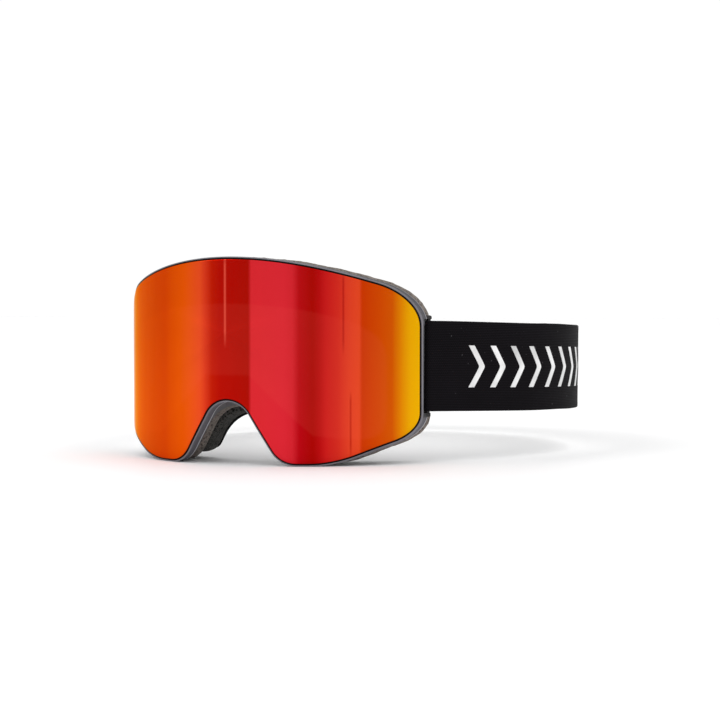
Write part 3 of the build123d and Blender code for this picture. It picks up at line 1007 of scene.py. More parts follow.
    def ring(
        self,
        profile: Array,
        nose_r: Optional[Array] = None,
        narrow: Optional[Array] = None,
        face: Optional[Array] = None,
        nose_grow: Optional[Array] = None,
        drop: float = 0.0,
        shape: Optional[Callable[[Array], Array]] = None,
    ) -> Patch:
        """A closed ring round the lens: a closed profile of (margin, depth) carried along the outline.

        Args:
            profile: (P, 2) margins and depths.
            nose_r: nose arch radius for each profile point.
            narrow: side narrowing for each profile point.
            face: share of the face curve for each profile point.
            nose_grow: margin at the nose for each profile point, where it differs.
            drop: how much lower the lobes' bottoms are.
            shape: optional function that adjusts the finished grid.

        Returns:
            The patch.
        """
        zero = np.zeros(len(profile))
        nose = zero + self.nose_r if nose_r is None else nose_r
        xz = self.rows(profile[:, 0], nose, zero if narrow is None else narrow, nose_grow, drop)
        grid = self.on_lens(xz, profile[:, 1], face=zero if face is None else face)
        return Patch(shape(grid) if shape else grid, wrap_rows=True)

    def pane(self, grow: float, front: float, back: float, bevel: float) -> Patch:
        """A lens pane: rows from its middle out to the edge, round the bevelled edge and back again.

        Inside the edge, each row is the outline shrunk towards the middle of the lens.

        Args:
            grow: margin of the pane's edge.
            front: depth of its front face.
            back: depth of its back face.
            bevel: radius of the edge.

        Returns:
            The patch, closed by fans.
        """
        turn = np.linspace(0.0, math.pi / 2, 5)
        edge = grow - bevel + bevel * np.sin(turn)
        inner = self.rows(np.array([grow - bevel]), self.nose_r, 0.0)[0]
        middle = np.array([0.0, 16.0])
        shares = np.array([0.03, 0.12, 0.24, 0.36, 0.48, 0.6, 0.7, 0.79, 0.87, 0.93, 0.97])
        field_rows = middle + shares[:, None, None] * (inner - middle)
        rim = self.rows(edge, self.nose_r, 0.0)
        xz = np.concatenate([field_rows, rim, rim[::-1], field_rows[::-1]])
        dip = bevel * (1 - np.cos(turn))
        depth = np.concatenate(
            [np.full(len(shares), front), front + dip, (back - dip)[::-1], np.full(len(shares), back)]
        )
        grid = self.on_lens(xz, depth, normal=True)
        return capped(grid)


@dataclass(frozen=True)
class StrapLoop:
    """The strap's round loop, drooping a little towards the back, in millimetres."""

    outline: LensOutline
    height: float = 45.0
    thickness: float = 1.4
    centre_depth: float = 148.0
    centre_rise: float = -3.3
    droop: float = math.radians(1.5)
    pin_x: float = 82.0
    pin_depth: float = 58.2
    pin_r: float = 1.2
    wrap_gap: float = 0.15
    layer_gap: float = 0.3
    adjuster: float = math.radians(55.0)
    notch: float = 46.6  # height of the gap between the lugs, which the strap starts in
    pull_in: float = 3.0
    pull_end: float = math.radians(10.0)

    @property
    def reach(self) -> float:
        """Distance from the loop's centre to a pin."""
        return math.hypot(self.pin_x, self.centre_depth - self.pin_depth)

    @property
    def pin_angle(self) -> float:
        """Angle of the left pin round the loop, from +X."""
        return math.atan2(self.pin_depth - self.centre_depth, self.pin_x)

    @property
    def wrap_r(self) -> float:
        """Radius of the strap's inner face where it wraps a pin."""
        return self.pin_r + self.wrap_gap

    @property
    def inner_r(self) -> float:
        """Radius of the main run's inner face."""
        return self.reach + self.wrap_r

    @property
    def outer_r(self) -> float:
        """Radius of the main run's outer face."""
        return self.inner_r + self.thickness

    @property
    def tail_r(self) -> float:
        """Radius of the middle of the doubled-back tail."""
        return self.inner_r - self.layer_gap - self.thickness / 2

    @property
    def bar_r(self) -> float:
        """Radius of the middle of an adjuster's centre bar."""
        return self.inner_r - self.layer_gap - self.thickness - 1.0

    def drawn_in(self, x: Array, y: Array) -> Array:
        """Share of the radius kept where the elastic runs straighter, just behind the frame.

        Between each pin and pull_end, the radius loses pull_in * sin(pi * u^0.55)^2, where u goes from 0
        at the pin to 1.

        Args:
            x: distances to the left, in the loop's plane.
            y: distances to the rear.

        Returns:
            Factors at or just below 1.
        """
        angle = np.arctan2(y, np.abs(x))
        u = np.clip((angle - self.pin_angle) / (self.pull_end - self.pin_angle), 0.0, 1.0)
        return 1 - self.pull_in / self.inner_r * np.sin(math.pi * u**0.55) ** 2

    def to_row(self, x: Array, y: Array, h: Array) -> Array:
        """Loop coordinates (x, y in the loop's plane, h up its axis) turned into the row frame.

        Args:
            x: distances to the left.
            y: distances to the rear.
            h: heights.

        Returns:
            (..., 3) points in millimetres.
        """
        x, y, h = np.broadcast_arrays(x, y, h)
        kept = self.drawn_in(x, y)
        x, y = x * kept, y * kept
        c, s = math.cos(self.droop), math.sin(self.droop)
        centre_y = self.outline.apex.y + self.centre_depth
        centre_z = self.outline.eye_z + self.centre_rise
        return np.stack([x, centre_y + y * c + h * s, centre_z - y * s + h * c], -1)

    def round(self, radius: Array, angle: Array, h: Array, side: int = 1) -> Array:
        """Points by radius, angle and height round the loop, mirrored for the right side."""
        return self.to_row(side * radius * np.cos(angle), radius * np.sin(angle), h)

    def sweep(self, path: Array, normals: Array, profile: Array, side: int = 1) -> Patch:
        """A closed profile carried along a path in the loop's plane, closed by fans at both ends.

        Args:
            path: (K, 2) points in the loop's plane.
            normals: (K, 2) outward directions.
            profile: (P, 2) points as (outwards, up).
            side: 1 for the left, -1 for the right.

        Returns:
            The patch; its columns run round the profile.
        """
        xy = path[:, None] + normals[:, None] * profile[None, :, :1]
        h = np.broadcast_to(profile[None, :, 1], xy.shape[:2])
        return capped(self.to_row(side * xy[..., 0], xy[..., 1], h))


# ---------------------------------------------------------------------------------------------------------
# Pieces
# ---------------------------------------------------------------------------------------------------------


def dress(
    obj: bpy.types.Object,
    material: bpy.types.Material,
    body: Optional[Body],
    nodes: Sequence[str] = (),
) -> bpy.types.Object:
    """Gives a piece its material, its body and the nodes it stands for.

    Args:
        obj: the piece.
        material: its material.
        body: the body it rides on, or None to attach it to no body.
        nodes: CAD nodes it replaces.

    Returns:
        The piece.
    """
    obj.data.materials.clear()
    obj.data.materials.append(material)
    if body is not None:
        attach(obj, body.value)
    if nodes:
        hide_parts(*nodes)
    LOG.info("%s: %d faces", obj.name, len(obj.data.polygons))
    return obj


@dataclass
class LensModule:
    """The part that pulls off: both panes, the spacer, the carrier and its magnets."""

    outline: LensOutline
    loop: StrapLoop
    lens_t: float = 1.4
    spacer_t: float = 2.4
    inner_t: float = 0.8
    lip_grow: float = 0.6
    carrier_in: float = -8.5
    carrier_back: float = 7.0
    window_depth: float = 52.2
    # coating colours by angle, with painted reflections of soft lights among them
    bands: tuple[tuple[float, Colour], ...] = (
        (-61.0, (222, 109, 0)), (-50.0, (213, 96, 0)), (-46.0, (214, 95, 0)), (-38.0, (208, 85, 0)),
        (-30.0, (202, 69, 0)), (-25.0, (201, 62, 0)), (-22.0, (208, 71, 0)), (-18.0, (215, 78, 0)),
        (-14.0, (220, 79, 14)), (-9.5, (220, 71, 29)), (-7.6, (206, 52, 24)), (-5.0, (179, 17, 0)),
        (-2.0, (169, 0, 0)), (7.3, (162, 0, 0)), (8.1, (207, 34, 45)), (18.0, (209, 35, 48)),
        (20.5, (202, 31, 43)), (22.5, (175, 2, 16)), (26.5, (161, 0, 0)), (28.5, (175, 6, 12)),
        (30.5, (192, 23, 24)), (34.0, (202, 39, 29)), (37.0, (214, 59, 34)), (40.4, (220, 68, 32)),
        (41.2, (195, 52, 0)), (47.0, (200, 69, 0)), (51.0, (202, 82, 0)), (54.0, (216, 127, 0)),
        (57.0, (225, 161, 0)), (61.0, (229, 170, 0)),
    )
    # painted reflection streaks over the coating
    streaks: tuple[Streak, ...] = (
        Streak(-0.4, 0.55, 8.0, 54.0, (226, 84, 66), 0.75),
        Streak(35.6, 0.5, 4.0, 46.0, (170, 18, 14), 0.85),
        Streak(37.8, 0.45, -47.0, -12.0, (176, 26, 8), 0.85),
    )

    def build(self) -> None:
        """Builds and dresses every piece of the lens module."""
        self.panes()
        self.spacer()
        self.carrier()
        self.magnets()

    def panes(self) -> None:
        """The mirrored outer lens and the clear inner lens."""
        centre_y = (self.outline.apex.y + self.outline.lens_r) * MM
        middle_z = self.outline.eye_z * MM
        mirror = MirrorLens("mirror_coating_and_painted_reflections", centre_y, middle_z, self.bands, self.streaks).build()
        outer = solid_from("outer_lens_pane", [self.outline.pane(0.0, 0.0, self.lens_t, 0.5)])
        dress(outer, mirror, Body.LENS, ["outer_lens"])
        back = self.lens_t + self.spacer_t
        inner = solid_from("inner_lens_pane", [self.outline.pane(-9.0, back, back + self.inner_t, 0.3)])
        tint = Moulded("inner_pane_tint", (120, 62, 46), 0.12, 0.0, 300.0, 0.0, 1.0).build()
        dress(inner, tint, Body.LENS, ["inner_lens"])

    def spacer(self) -> None:
        """The foam gasket between the panes, slightly bulged."""
        low, high = self.lens_t, self.lens_t + self.spacer_t
        profile = rounded_loop([(-13, low), (-9, low), (-9, high), (-13, high)], [0.8] * 4, 5)
        gasket = solid_from("lens_spacer_foam", [self.outline.ring(profile)])
        foam = CellFoam("gasket_foam", (38, 37, 37), (12, 12, 12), 0.0006, 0.0002).build()
        dress(gasket, foam, Body.LENS, ["lens_spacer"])

    def carrier(self) -> None:
        """The carrier: a thin lip round the lens and a plate behind it, cut back where the strap starts."""
        g = self.lip_grow
        corners = [(0.12, 0.45), (g, 0.45), (g, self.carrier_back), (self.carrier_in, self.carrier_back)]
        corners += [(self.carrier_in, self.lens_t + 1.2), (0.12, self.lens_t + 1.2)]
        profile = rounded_loop(corners, [0.15, 0.2, 0.8, 0.8, 0.5, 0.2], 5)
        limit = self.outline.apex.y + self.window_depth
        middle = self.outline.eye_z + self.loop.centre_rise

        def cut_back(grid: Array) -> Array:
            """Limits y to the window's front wall between the strap's edges."""
            inside = np.abs(grid[..., 2] - middle) < self.loop.notch / 2
            grid[..., 1] = np.where(inside, np.minimum(grid[..., 1], limit), grid[..., 1])
            return grid

        ring = solid_from("lens_carrier_rim", [self.outline.ring(profile, shape=cut_back)])
        dark = Moulded("carrier_plastic", (9, 9, 10), 0.5, 0.00002, 1800.0, 0.1, shine=0.06).build()
        dress(ring, dark, Body.LENS, ["lens_carrier"])

    def magnets(self) -> None:
        """Nickel-plated magnet discs in the carrier's back."""
        steel = Metal("magnet_nickel", (196, 192, 184), 0.26).build()
        discs = Magnets(self.outline).discs("carrier_magnet_discs", self.carrier_back, 1)
        dress(discs, steel, Body.LENS, ["lens_magnets"])


@dataclass
class Magnets:
    """Places of the magnets, just inside the lens's edge."""

    outline: LensOutline
    inset: float = 3.5
    radius: float = 2.5
    thickness: float = 1.8
    top_x: tuple[float, ...] = (-55.0, -19.0, 19.0, 55.0)
    bottom_x: tuple[float, ...] = (-64.0, -38.0, 38.0, 64.0)

    def spots(self) -> Array:
        """(x, z) of every magnet: on the outline drawn in by the inset, above and below.

        Returns:
            (8, 2) points.
        """
        o = self.outline
        top = np.array(self.top_x)
        top_z = o.crown_z - o.crown_r + np.sqrt((o.crown_r - self.inset) ** 2 - top**2)
        low = np.array(self.bottom_x)
        knee = o.knee_x - self.inset * math.tan(o.slope / 2)
        low_z = o.lobe_z + self.inset + np.maximum(np.abs(low) - knee, 0.0) * math.tan(o.slope)
        return np.concatenate([np.stack([top, top_z], -1), np.stack([low, low_z], -1)])

    def discs(self, name: str, depth: float, facing: int) -> bpy.types.Object:
        """Bevelled discs whose faces stand a hair proud of a surface.

        Each disc is a profile of radius against height turned round the surface's normal.

        Args:
            name: the object's name.
            depth: depth of the surface they are set in.
            facing: 1 if the discs' faces look backwards, -1 if they look at the lens.

        Returns:
            The object.
        """
        xz = self.spots()
        turn = np.arcsin(xz[:, 0] / self.outline.lens_r)
        base = self.outline.on_lens(xz, np.full(len(xz), depth))
        out = np.stack([-np.sin(turn), np.cos(turn), np.zeros_like(turn)], -1) * facing
        side = np.stack([np.cos(turn), np.sin(turn), np.zeros_like(turn)], -1)
        up = np.array([0.0, 0.0, 1.0])
        around = full_turn(40)
        r = np.array([0.3, self.radius - 0.25, self.radius - 0.07, self.radius, self.radius, 0.3])
        h = np.array([0.05, 0.05, -0.02, -0.2, -self.thickness, -self.thickness])
        patches = []
        for where, n, s in zip(base, out, side):
            ring = s * np.cos(around)[:, None] + up * np.sin(around)[:, None]
            grid = where + r[:, None, None] * ring[None] + h[:, None, None] * n
            patches.append(capped(grid))
        return solid_from(name, patches, 30.0)


@dataclass
class FaceFrame:
    """The soft frame behind the lens: its lip, flank and flange, with vents, lugs, pins and magnets."""

    outline: LensOutline
    loop: StrapLoop
    lip_in: float = 0.65
    lip_out: float = 1.3
    flank: float = 1.2
    ring_in: float = -8.0
    flange_in: float = -14.0
    ring_front: float = 7.2
    back: float = 13.0
    pin_length: float = 49.4
    lug_r: float = 1.7
    lug_reach: float = 4.6  # from the pin towards the frame
    lug_turn: float = math.radians(60.0)
    top_vents: tuple[float, ...] = (-28.0, -14.0, 0.0, 14.0, 28.0)
    bottom_vents: tuple[float, ...] = (-35.5, -24.0, 24.0, 35.5)

    def build(self) -> None:
        """Builds and dresses every piece of the frame."""
        o = self.outline
        self.rubber = FrameRubber(
            "frame_rubber_and_painted_light", o.apex.y * MM, o.lens_r * MM, (o.eye_z + self.loop.centre_rise) * MM
        ).build()
        self.body()
        self.lugs()
        self.pins()
        discs = Magnets(self.outline).discs("frame_magnet_discs", self.ring_front, -1)
        steel = Metal("frame_magnet_nickel", (190, 187, 180), 0.3).build()
        dress(discs, steel, Body.FRAME, ["frame_magnets"])
        self.vent_foams()

    def body(self) -> None:
        """The frame's body: one ring whose profile has the lip, a waist, a bead, the flange and the ring."""
        f, o = self.flank, self.outline
        rows = [
            # margin, depth, corner radius, share of the foam's nose arch, share of the face curve
            (self.lip_in, 0.8, 0.15, 0, 0),
            (self.lip_out - 0.1, 0.8, 0.22, 0, 0),
            (self.lip_out, 1.6, 0.3, 0, 0),
            (f - 0.25, 3.2, 0.8, 0, 0),
            (f - 0.25, 6.2, 0.5, 0, 0),
            (f, 6.7, 0.2, 0, 0),
            (f, 7.5, 0.2, 0, 0),
            (f - 0.6, 8.1, 0.3, 0.1, 0.2),
            (f - 1.4, self.back - 0.9, 0.3, 0.9, 1),
            (f - 2.2, self.back, 0.2, 1, 1),
            (self.flange_in, self.back, 0.5, 1, 1),
            (self.flange_in, self.back - 1.5, 0.5, 1, 1),
            (self.ring_in, self.back - 1.9, 0.6, 0.6, 1),
            (self.ring_in, self.ring_front, 0.6, 0, 0),
            (self.lip_in, self.ring_front, 0.2, 0, 0),
        ]
        table = np.repeat(np.array(rows), 4, axis=0)
        profile = rounded_loop(table[::4, :2], table[::4, 2], 4)
        share = table[:, 3]
        nose = o.nose_r + share * (o.base_nose_r - o.nose_r)
        outer = profile[:, 0] > -5
        at_nose = np.where(outer, profile[:, 0] + share * (o.foam_nose_grow - profile[:, 0]), profile[:, 0])
        ring = o.ring(profile, nose_r=nose, face=table[:, 4], nose_grow=at_nose)
        body = solid_from("face_frame_body", [ring])
        carve(body, self.vent_cutters() + self.strap_cutters())
        dress(body, self.rubber, Body.FRAME, ["face_frame"])

    def vent_cutters(self) -> list[bpy.types.Object]:
        """Slot-shaped cutters for the vents over the brow and under the cheeks.

        Returns:
            One closed prism per vent: a stadium of 14 by 2.4 mm carried up or down.
        """
        o = self.outline
        depth = (self.ring_front + 11.4) / 2 + 0.2
        turn = np.linspace(-math.pi / 2, math.pi / 2, 10)
        right = np.stack([5.8 + 1.2 * np.cos(turn), 1.2 * np.sin(turn)], -1)
        stadium = np.concatenate([right, -right])
        cutters = []
        for angles, low, high in (
            (self.top_vents, o.crown_z - 20, o.crown_z + 5),
            (self.bottom_vents, o.lobe_z - 5, o.lobe_z + 20),
        ):
            for degrees in angles:
                a = math.radians(degrees)
                x = o.lens_r * math.sin(a) + stadium[:, 0] * math.cos(a) - stadium[:, 1] * math.sin(a)
                y = o.lens_r * (1 - math.cos(a)) + depth
                y = y + stadium[:, 0] * math.sin(a) + stadium[:, 1] * math.cos(a)
                levels = np.array([low, high]) + o.eye_z
                grid = np.stack([np.stack([x, y + o.apex.y, np.full_like(x, z)], -1) for z in levels])
                cutters.append(solid_from("vent_cutter", [capped(grid)]))
        return cutters

    def strap_cutters(self) -> list[bpy.types.Object]:
        """Boxes that clear the frame's rim and flank where the strap starts at each side."""
        loop = self.loop
        cutters = []
        for side in SIDES.values():
            x = side * np.array([79.6, 96.0, 96.0, 79.6])
            y = np.array([52.2, 52.2, 75.0, 75.0]) - loop.centre_depth
            half = loop.notch / 2
            grid = np.stack([loop.to_row(x, y, np.full(4, h)) for h in (-half, half)])
            cutters.append(solid_from("strap_cutter", [capped(grid)]))
        return cutters

    def lugs(self) -> None:
        """Four rounded lugs, each a tongue that runs from the frame round the end of a pin."""
        loop = self.loop
        patches = []
        nose = self.lug_r * compass(np.linspace(-math.pi / 2, math.pi / 2, 12))
        tongue = np.concatenate([nose, [[-self.lug_reach, self.lug_r], [-self.lug_reach, -self.lug_r]]])
        a = self.lug_turn
        turned = tongue @ np.array([[math.cos(a), math.sin(a)], [-math.sin(a), math.cos(a)]])
        for side in SIDES.values():
            for end in (1, -1):
                rise = np.array([0.0, 0.1, 0.3, 1.1, 1.5, 1.75, 1.9])
                shrink = np.array([0.75, 0.94, 1.0, 1.0, 0.93, 0.75, 0.45])
                grids = [
                    loop.to_row(
                        side * (loop.pin_x + turned[:, 0] * s),
                        loop.pin_depth - loop.centre_depth + turned[:, 1] * s,
                        np.full(len(turned), end * (loop.notch / 2 + r)),
                    )
                    for r, s in zip(rise, shrink)
                ]
                patches.append(capped(np.stack(grids)))
        lugs = solid_from("strap_lugs", patches)
        dark = Moulded("lug_rubber", (58, 56, 56), 0.5, 0.00003, 1600.0, 0.2, shine=0.06).build()
        dress(lugs, dark, Body.FRAME)

    def pins(self) -> None:
        """The two steel pins the strap wraps, each with domed ends."""
        steel = Metal("pin_blackened_steel", (58, 58, 60), 0.4).build()
        loop = self.loop
        around = full_turn(28)
        half = self.pin_length / 2
        rise = np.array([-half, -half + 0.1, -half + 0.5, half - 0.5, half - 0.1, half])
        r = loop.pin_r * np.array([0.6, 0.88, 1.0, 1.0, 0.88, 0.6])
        for name, side in SIDES.items():
            x = side * (loop.pin_x + r[:, None] * np.cos(around))
            y = loop.pin_depth - loop.centre_depth + r[:, None] * np.sin(around)
            grid = loop.to_row(x, y, np.broadcast_to(rise[:, None], x.shape))
            pin = solid_from(f"strap_pin_{name}", [capped(grid)])
            dress(pin, steel, Body.FRAME, [f"anchor_pin_{name}"])

    def vent_foams(self) -> None:
        """The CAD's thin vent strips keep their shape and get a fine dark foam."""
        foam = CellFoam("vent_foam_open", (44, 44, 45), (10, 10, 10), 0.0014, 0.0006).build()
        for node in ("top_vent_foam", "bottom_vent_foam_left", "bottom_vent_foam_right"):
            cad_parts[node].data.materials.clear()
            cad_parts[node].data.materials.append(foam)


@dataclass(frozen=True)
class FoamLayer:
    """One soft ring between the frame and the face, in millimetres.

    Attributes:
        name: the piece's name.
        node: the CAD node it replaces.
        slot: name of a material slot; not used.
        depths: front and back depths.
        margins: outer and inner margins.
        narrow: how far the sides are drawn in at the front and at the back.
        nose_r: radius of its nose arch.
        soft: corner radius.
        drop: how much lower its bottom edges hang than its margins alone put them.
    """

    name: str
    node: str
    slot: str
    depths: tuple[float, float]
    margins: tuple[float, float]
    narrow: tuple[float, float]
    nose_r: float
    soft: float
    drop: float


@dataclass
class FaceFoams:
    """The three soft layers between the frame and the face."""

    outline: LensOutline
    loop: StrapLoop

    def build(self) -> None:
        """Builds and dresses the layers."""
        o = self.outline
        beige = CellFoam("beige_foam", (134, 125, 118), (74, 67, 62), 0.0014, 0.0004, 0.14)
        charcoal = CellFoam("charcoal_foam", (82, 81, 78), (8, 8, 8), 0.0014, 0.0006, 0.05)
        fleece = Fleece("face_fleece", (20, 20, 20), (44, 43, 42))
        base = ("base_foam_layer", "base_foam", "base_foam", (13.0, 21.5), (0.5, -14.5), (0.0, 1.2))
        face = ("face_foam_layer", "face_foam", "face_foam", (21.5, 35.5), (-5.5, -15.5), (0.0, 1.6))
        lining = ("fleece_layer", "fleece_lining", "fleece", (35.5, 37.0), (-6.5, -15.0), (1.2, 1.4))
        finishes = [finish.build() for finish in (beige, charcoal, fleece)]
        layers = (
            FoamLayer(*base, nose_r=o.base_nose_r, soft=2.6, drop=0.0),
            FoamLayer(*face, nose_r=o.face_nose_r, soft=1.4, drop=3.0),
            FoamLayer(*lining, nose_r=o.lining_nose_r, soft=0.6, drop=3.0),
        )
        for layer, finish in zip(layers, finishes):
            self.layer(layer, finish)

    def layer(self, layer: FoamLayer, material: bpy.types.Material) -> None:
        """One foam layer: a ring with rounded, slightly bulging sides.

        The profile is a rectangle with round corners whose sides bulge by a half sine of their depth, and
        the finished surface is pushed in and out by soft noise, as cut foam is never quite flat.

        Args:
            layer: its sizes.
            material: its material.
        """
        (front, back), (outer, inner), narrow = layer.depths, layer.margins, layer.narrow
        soft = min(layer.soft, (back - front) / 2.3)
        corners = [(outer, front), (outer, back), (inner, back), (inner, front)]
        corner = rounded_loop(corners, [soft] * 4, 7).reshape(4, 7, 2)
        runs = [between(corner[i][-1:], corner[(i + 1) % 4][:1], 6)[0] for i in range(4)]
        profile = np.concatenate([p for pair in zip(corner, runs) for p in pair])
        share = np.clip((profile[:, 1] - front) / (back - front), 0, 1)
        outside = profile[:, 0] > (outer + inner) / 2
        o = self.outline
        at_nose = profile[:, 0] + np.where(outside, o.foam_nose_grow - outer, 0.0)
        bulge = 0.3 * soft * np.sin(share * math.pi) * np.where(outside, 1, -1)
        drawn = narrow[0] + (narrow[1] - narrow[0]) * share

        def uneven(grid: Array) -> Array:
            """Adds the soft noise outwards in the front view, and a little in depth."""
            push = wave_noise(grid, 9.0, 11) * 0.09 * soft + wave_noise(grid, 3.0, 5) * 0.05 * soft
            out = unit(grid - grid.mean(axis=(0, 1)))
            return grid + out * push[..., None] * np.array([1.0, 0.3, 1.0])

        profile = profile + np.stack([bulge, 0 * bulge], -1)
        ring = o.ring(
            profile,
            nose_r=np.full(len(profile), layer.nose_r),
            narrow=np.where(outside, drawn, 0.0),
            face=np.ones(len(profile)),
            nose_grow=at_nose + bulge,
            drop=layer.drop,
            shape=uneven,
        )
        piece = solid_from(layer.name, [ring])
        if layer.node == "base_foam":
            carve(piece, FaceFrame(self.outline, self.loop).strap_cutters())
        dress(piece, material, Body.FRAME, [layer.node])


@dataclass
class HeadStrap:
    """The elastic strap with its printed chevrons, doubled-back tails, grip strips and stitching."""

    loop: StrapLoop
    chevrons: int = 9
    chevron_start: float = math.radians(-37.0)
    chevron_step: float = math.radians(6.4)
    chevron_h: float = 21.0
    chevron_w: float = 3.6
    chevron_point: float = 7.0
    tail_narrower: float = 1.0  # how much less tall a tail is than the run
    tail_lead: float = math.radians(9.0)  # over which a tail leaves the pin for its own radius
    flap: float = math.radians(8.5)  # length of the sewn flap beyond the adjuster's bar
    stitch_pitch: float = 2.2
    stitch_half: float = 0.85
    grip_half: float = math.radians(11.0)
    grip_wave: float = 9.0  # length of a wave of the grip beads

    def build(self) -> None:
        """Builds and dresses every piece of the strap."""
        self.yarn = Webbing("strap_webbing", (9, 8, 9), (33, 30, 35)).build()
        self.thread = Moulded("stitch_thread", (34, 32, 35), 0.7, 0.00003, 3000.0, 0.2, 0.0, 0.1).build()
        self.run()
        for name in SIDES:
            self.tail(name)
            self.print(name)
        self.grips()

    def profile(self, height: float, thickness: float) -> Array:
        """Cross-section of the webbing: a flat band with round edges and a raised selvedge at each.

        Args:
            height: full height.
            thickness: full thickness.

        Returns:
            (P, 2) points as (outwards, up).
        """
        half, t = height / 2, thickness / 2
        rise = np.linspace(-half + t, half - t, 30)
        bead = 0.12 * np.exp(-(((np.abs(rise) - (half - 1.6)) / 0.7) ** 2))
        face = np.stack([t - 0.12 + bead, rise], -1)
        turn = np.linspace(0.0, math.pi, 8)[1:-1]
        cap = np.stack([(t - 0.12) * np.cos(turn), half - t + t * np.sin(turn)], -1)
        return np.concatenate([face, cap, (face * [-1, 1])[::-1], (cap * [1, -1])[::-1]])

    def run(self) -> None:
        """The main run, from round one pin, right round the head, to round the other."""
        loop = self.loop
        mid = loop.wrap_r + loop.thickness / 2
        pin = np.array([loop.pin_x, loop.pin_depth - loop.centre_depth])
        a = loop.pin_angle
        wrap = np.linspace(a - math.pi, a, 20)[:-1]
        main = np.linspace(a, math.pi - a, 360)
        first = pin + mid * compass(wrap)
        path = np.concatenate([first, (loop.reach + mid) * compass(main), (first * [-1, 1])[::-1]])
        normals = np.concatenate([compass(wrap), compass(main), (compass(wrap) * [-1, 1])[::-1]])
        patch = loop.sweep(path, normals, self.profile(loop.height, loop.thickness))
        ripple = wave_noise(patch.points * [1, 1, 0], 36.0, 3) * 0.12
        edge = np.abs(patch.points[..., 2] - patch.points[..., 2].mean()) / (loop.height / 2)
        patch.points[..., 2] += ripple * edge
        strap = solid_from("strap_run", [patch])
        self.lay_uv(strap)
        dress(strap, self.yarn, Body.FRAME, ["strap"])

    def lay_uv(self, obj: bpy.types.Object) -> None:
        """Makes the UV map run along the strap and up it: u is the angle round the loop times its radius.

        Args:
            obj: a strap piece.
        """
        mesh = obj.data
        co = np.zeros(len(mesh.vertices) * 3, np.float32)
        mesh.vertices.foreach_get("co", co)
        co = co.reshape(-1, 3)
        centre_y = (self.loop.outline.apex.y + self.loop.centre_depth) * MM
        angle = np.arctan2(co[:, 0], co[:, 1] - centre_y)
        u = angle * self.loop.inner_r * MM
        v = co[:, 2] + (co[:, 1] - centre_y) * math.sin(self.loop.droop)
        corner = np.zeros(len(mesh.loops), np.int32)
        mesh.loops.foreach_get("vertex_index", corner)
        uv = np.stack([u[corner], v[corner]], -1).astype(np.float32)
        mesh.uv_layers[0].uv.foreach_set("vector", uv.ravel())

    def tail(self, name: str) -> None:
        """A tail: from behind its pin along the run's inside, round the adjuster's centre bar and back.

        Args:
            name: left or right.
        """
        loop, side = self.loop, SIDES[name]
        t = loop.thickness
        a = loop.pin_angle
        start_r = loop.reach - loop.wrap_r - t / 2
        share = np.linspace(0, 1, 24)[:-1]
        lead = a + share * self.tail_lead
        lead_r = start_r + (loop.tail_r - start_r) * ease(share)
        bar = loop.adjuster
        run = np.linspace(a + self.tail_lead, bar, 180)
        radius = np.concatenate([lead_r, np.full(len(run), loop.tail_r)])
        angle = np.concatenate([lead, run])
        path = radius[:, None] * compass(angle)
        out = np.array([math.cos(bar), math.sin(bar)])
        along = np.array([-math.sin(bar), math.cos(bar)])
        turn_r = loop.tail_r - loop.bar_r
        hub = out * loop.bar_r
        spin = np.linspace(math.pi / 2, -math.pi / 2, 16)[1:]
        width = 1.1
        bend = hub + along * (width + turn_r * np.cos(spin))[:, None] + out * (turn_r * np.sin(spin))[:, None]
        lead_out = path[-1] + along * np.array([[0.5], [1.0]]) * width
        back_angle = bar - np.linspace(0.006, self.flap, 22)
        gap = turn_r * 2 - t - 0.25
        settle = ease(np.clip((bar - back_angle) / math.radians(4.0), 0, 1))
        flap_r = loop.bar_r - turn_r + gap * settle
        flap = flap_r[:, None] * compass(back_angle)
        full = np.concatenate([path, lead_out, bend, flap])
        tangent = unit(np.gradient(full, axis=0))
        normals = np.stack([tangent[:, 1], -tangent[:, 0]], -1)
        patch = loop.sweep(full, normals, self.profile(loop.height - self.tail_narrower, t), side)
        piece = solid_from(f"strap_tail_run_{name}", [patch])
        self.lay_uv(piece)
        dress(piece, self.yarn, None, [f"strap_tail_{name}", f"tail_loop_{name}"])
        begin = loop.round(loop.tail_r, loop.pull_end - math.radians(8), 0.0, side) * MM
        end = loop.round(loop.tail_r, bar - math.radians(12), 0.0, side) * MM
        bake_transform(piece)
        self.stitches(name, flap_r[-10:].mean())

    def stitches(self, name: str, radius: float) -> None:
        """Two rows of lock stitches across a tail's flap: small capsules end to end, six-sided.

        Args:
            name: left or right.
            radius: radius of the flap's middle.
        """
        loop, side = self.loop, SIDES[name]
        inner = radius - loop.thickness / 2 - 0.02
        half = self.stitch_half
        heights = np.arange(-19.8, 19.9, self.stitch_pitch)
        angles = loop.adjuster - np.radians([5.0, 7.2])
        around = full_turn(6)
        rise = np.array([-half, -half * 0.75, 0.0, half * 0.75, half])
        girth = np.array([0.05, 0.16, 0.2, 0.16, 0.05])
        patches = []
        for angle in angles:
            for h in heights:
                r = inner + girth[:, None] * np.cos(around)
                a = angle + girth[:, None] * np.sin(around) / inner
                grid = loop.round(r, a, h + np.broadcast_to(rise[:, None], r.shape), side)
                patches.append(capped(grid))
        rows = solid_from(f"tail_stitching_{name}", patches, 180.0)
        dress(rows, self.thread, SLIDER[name])

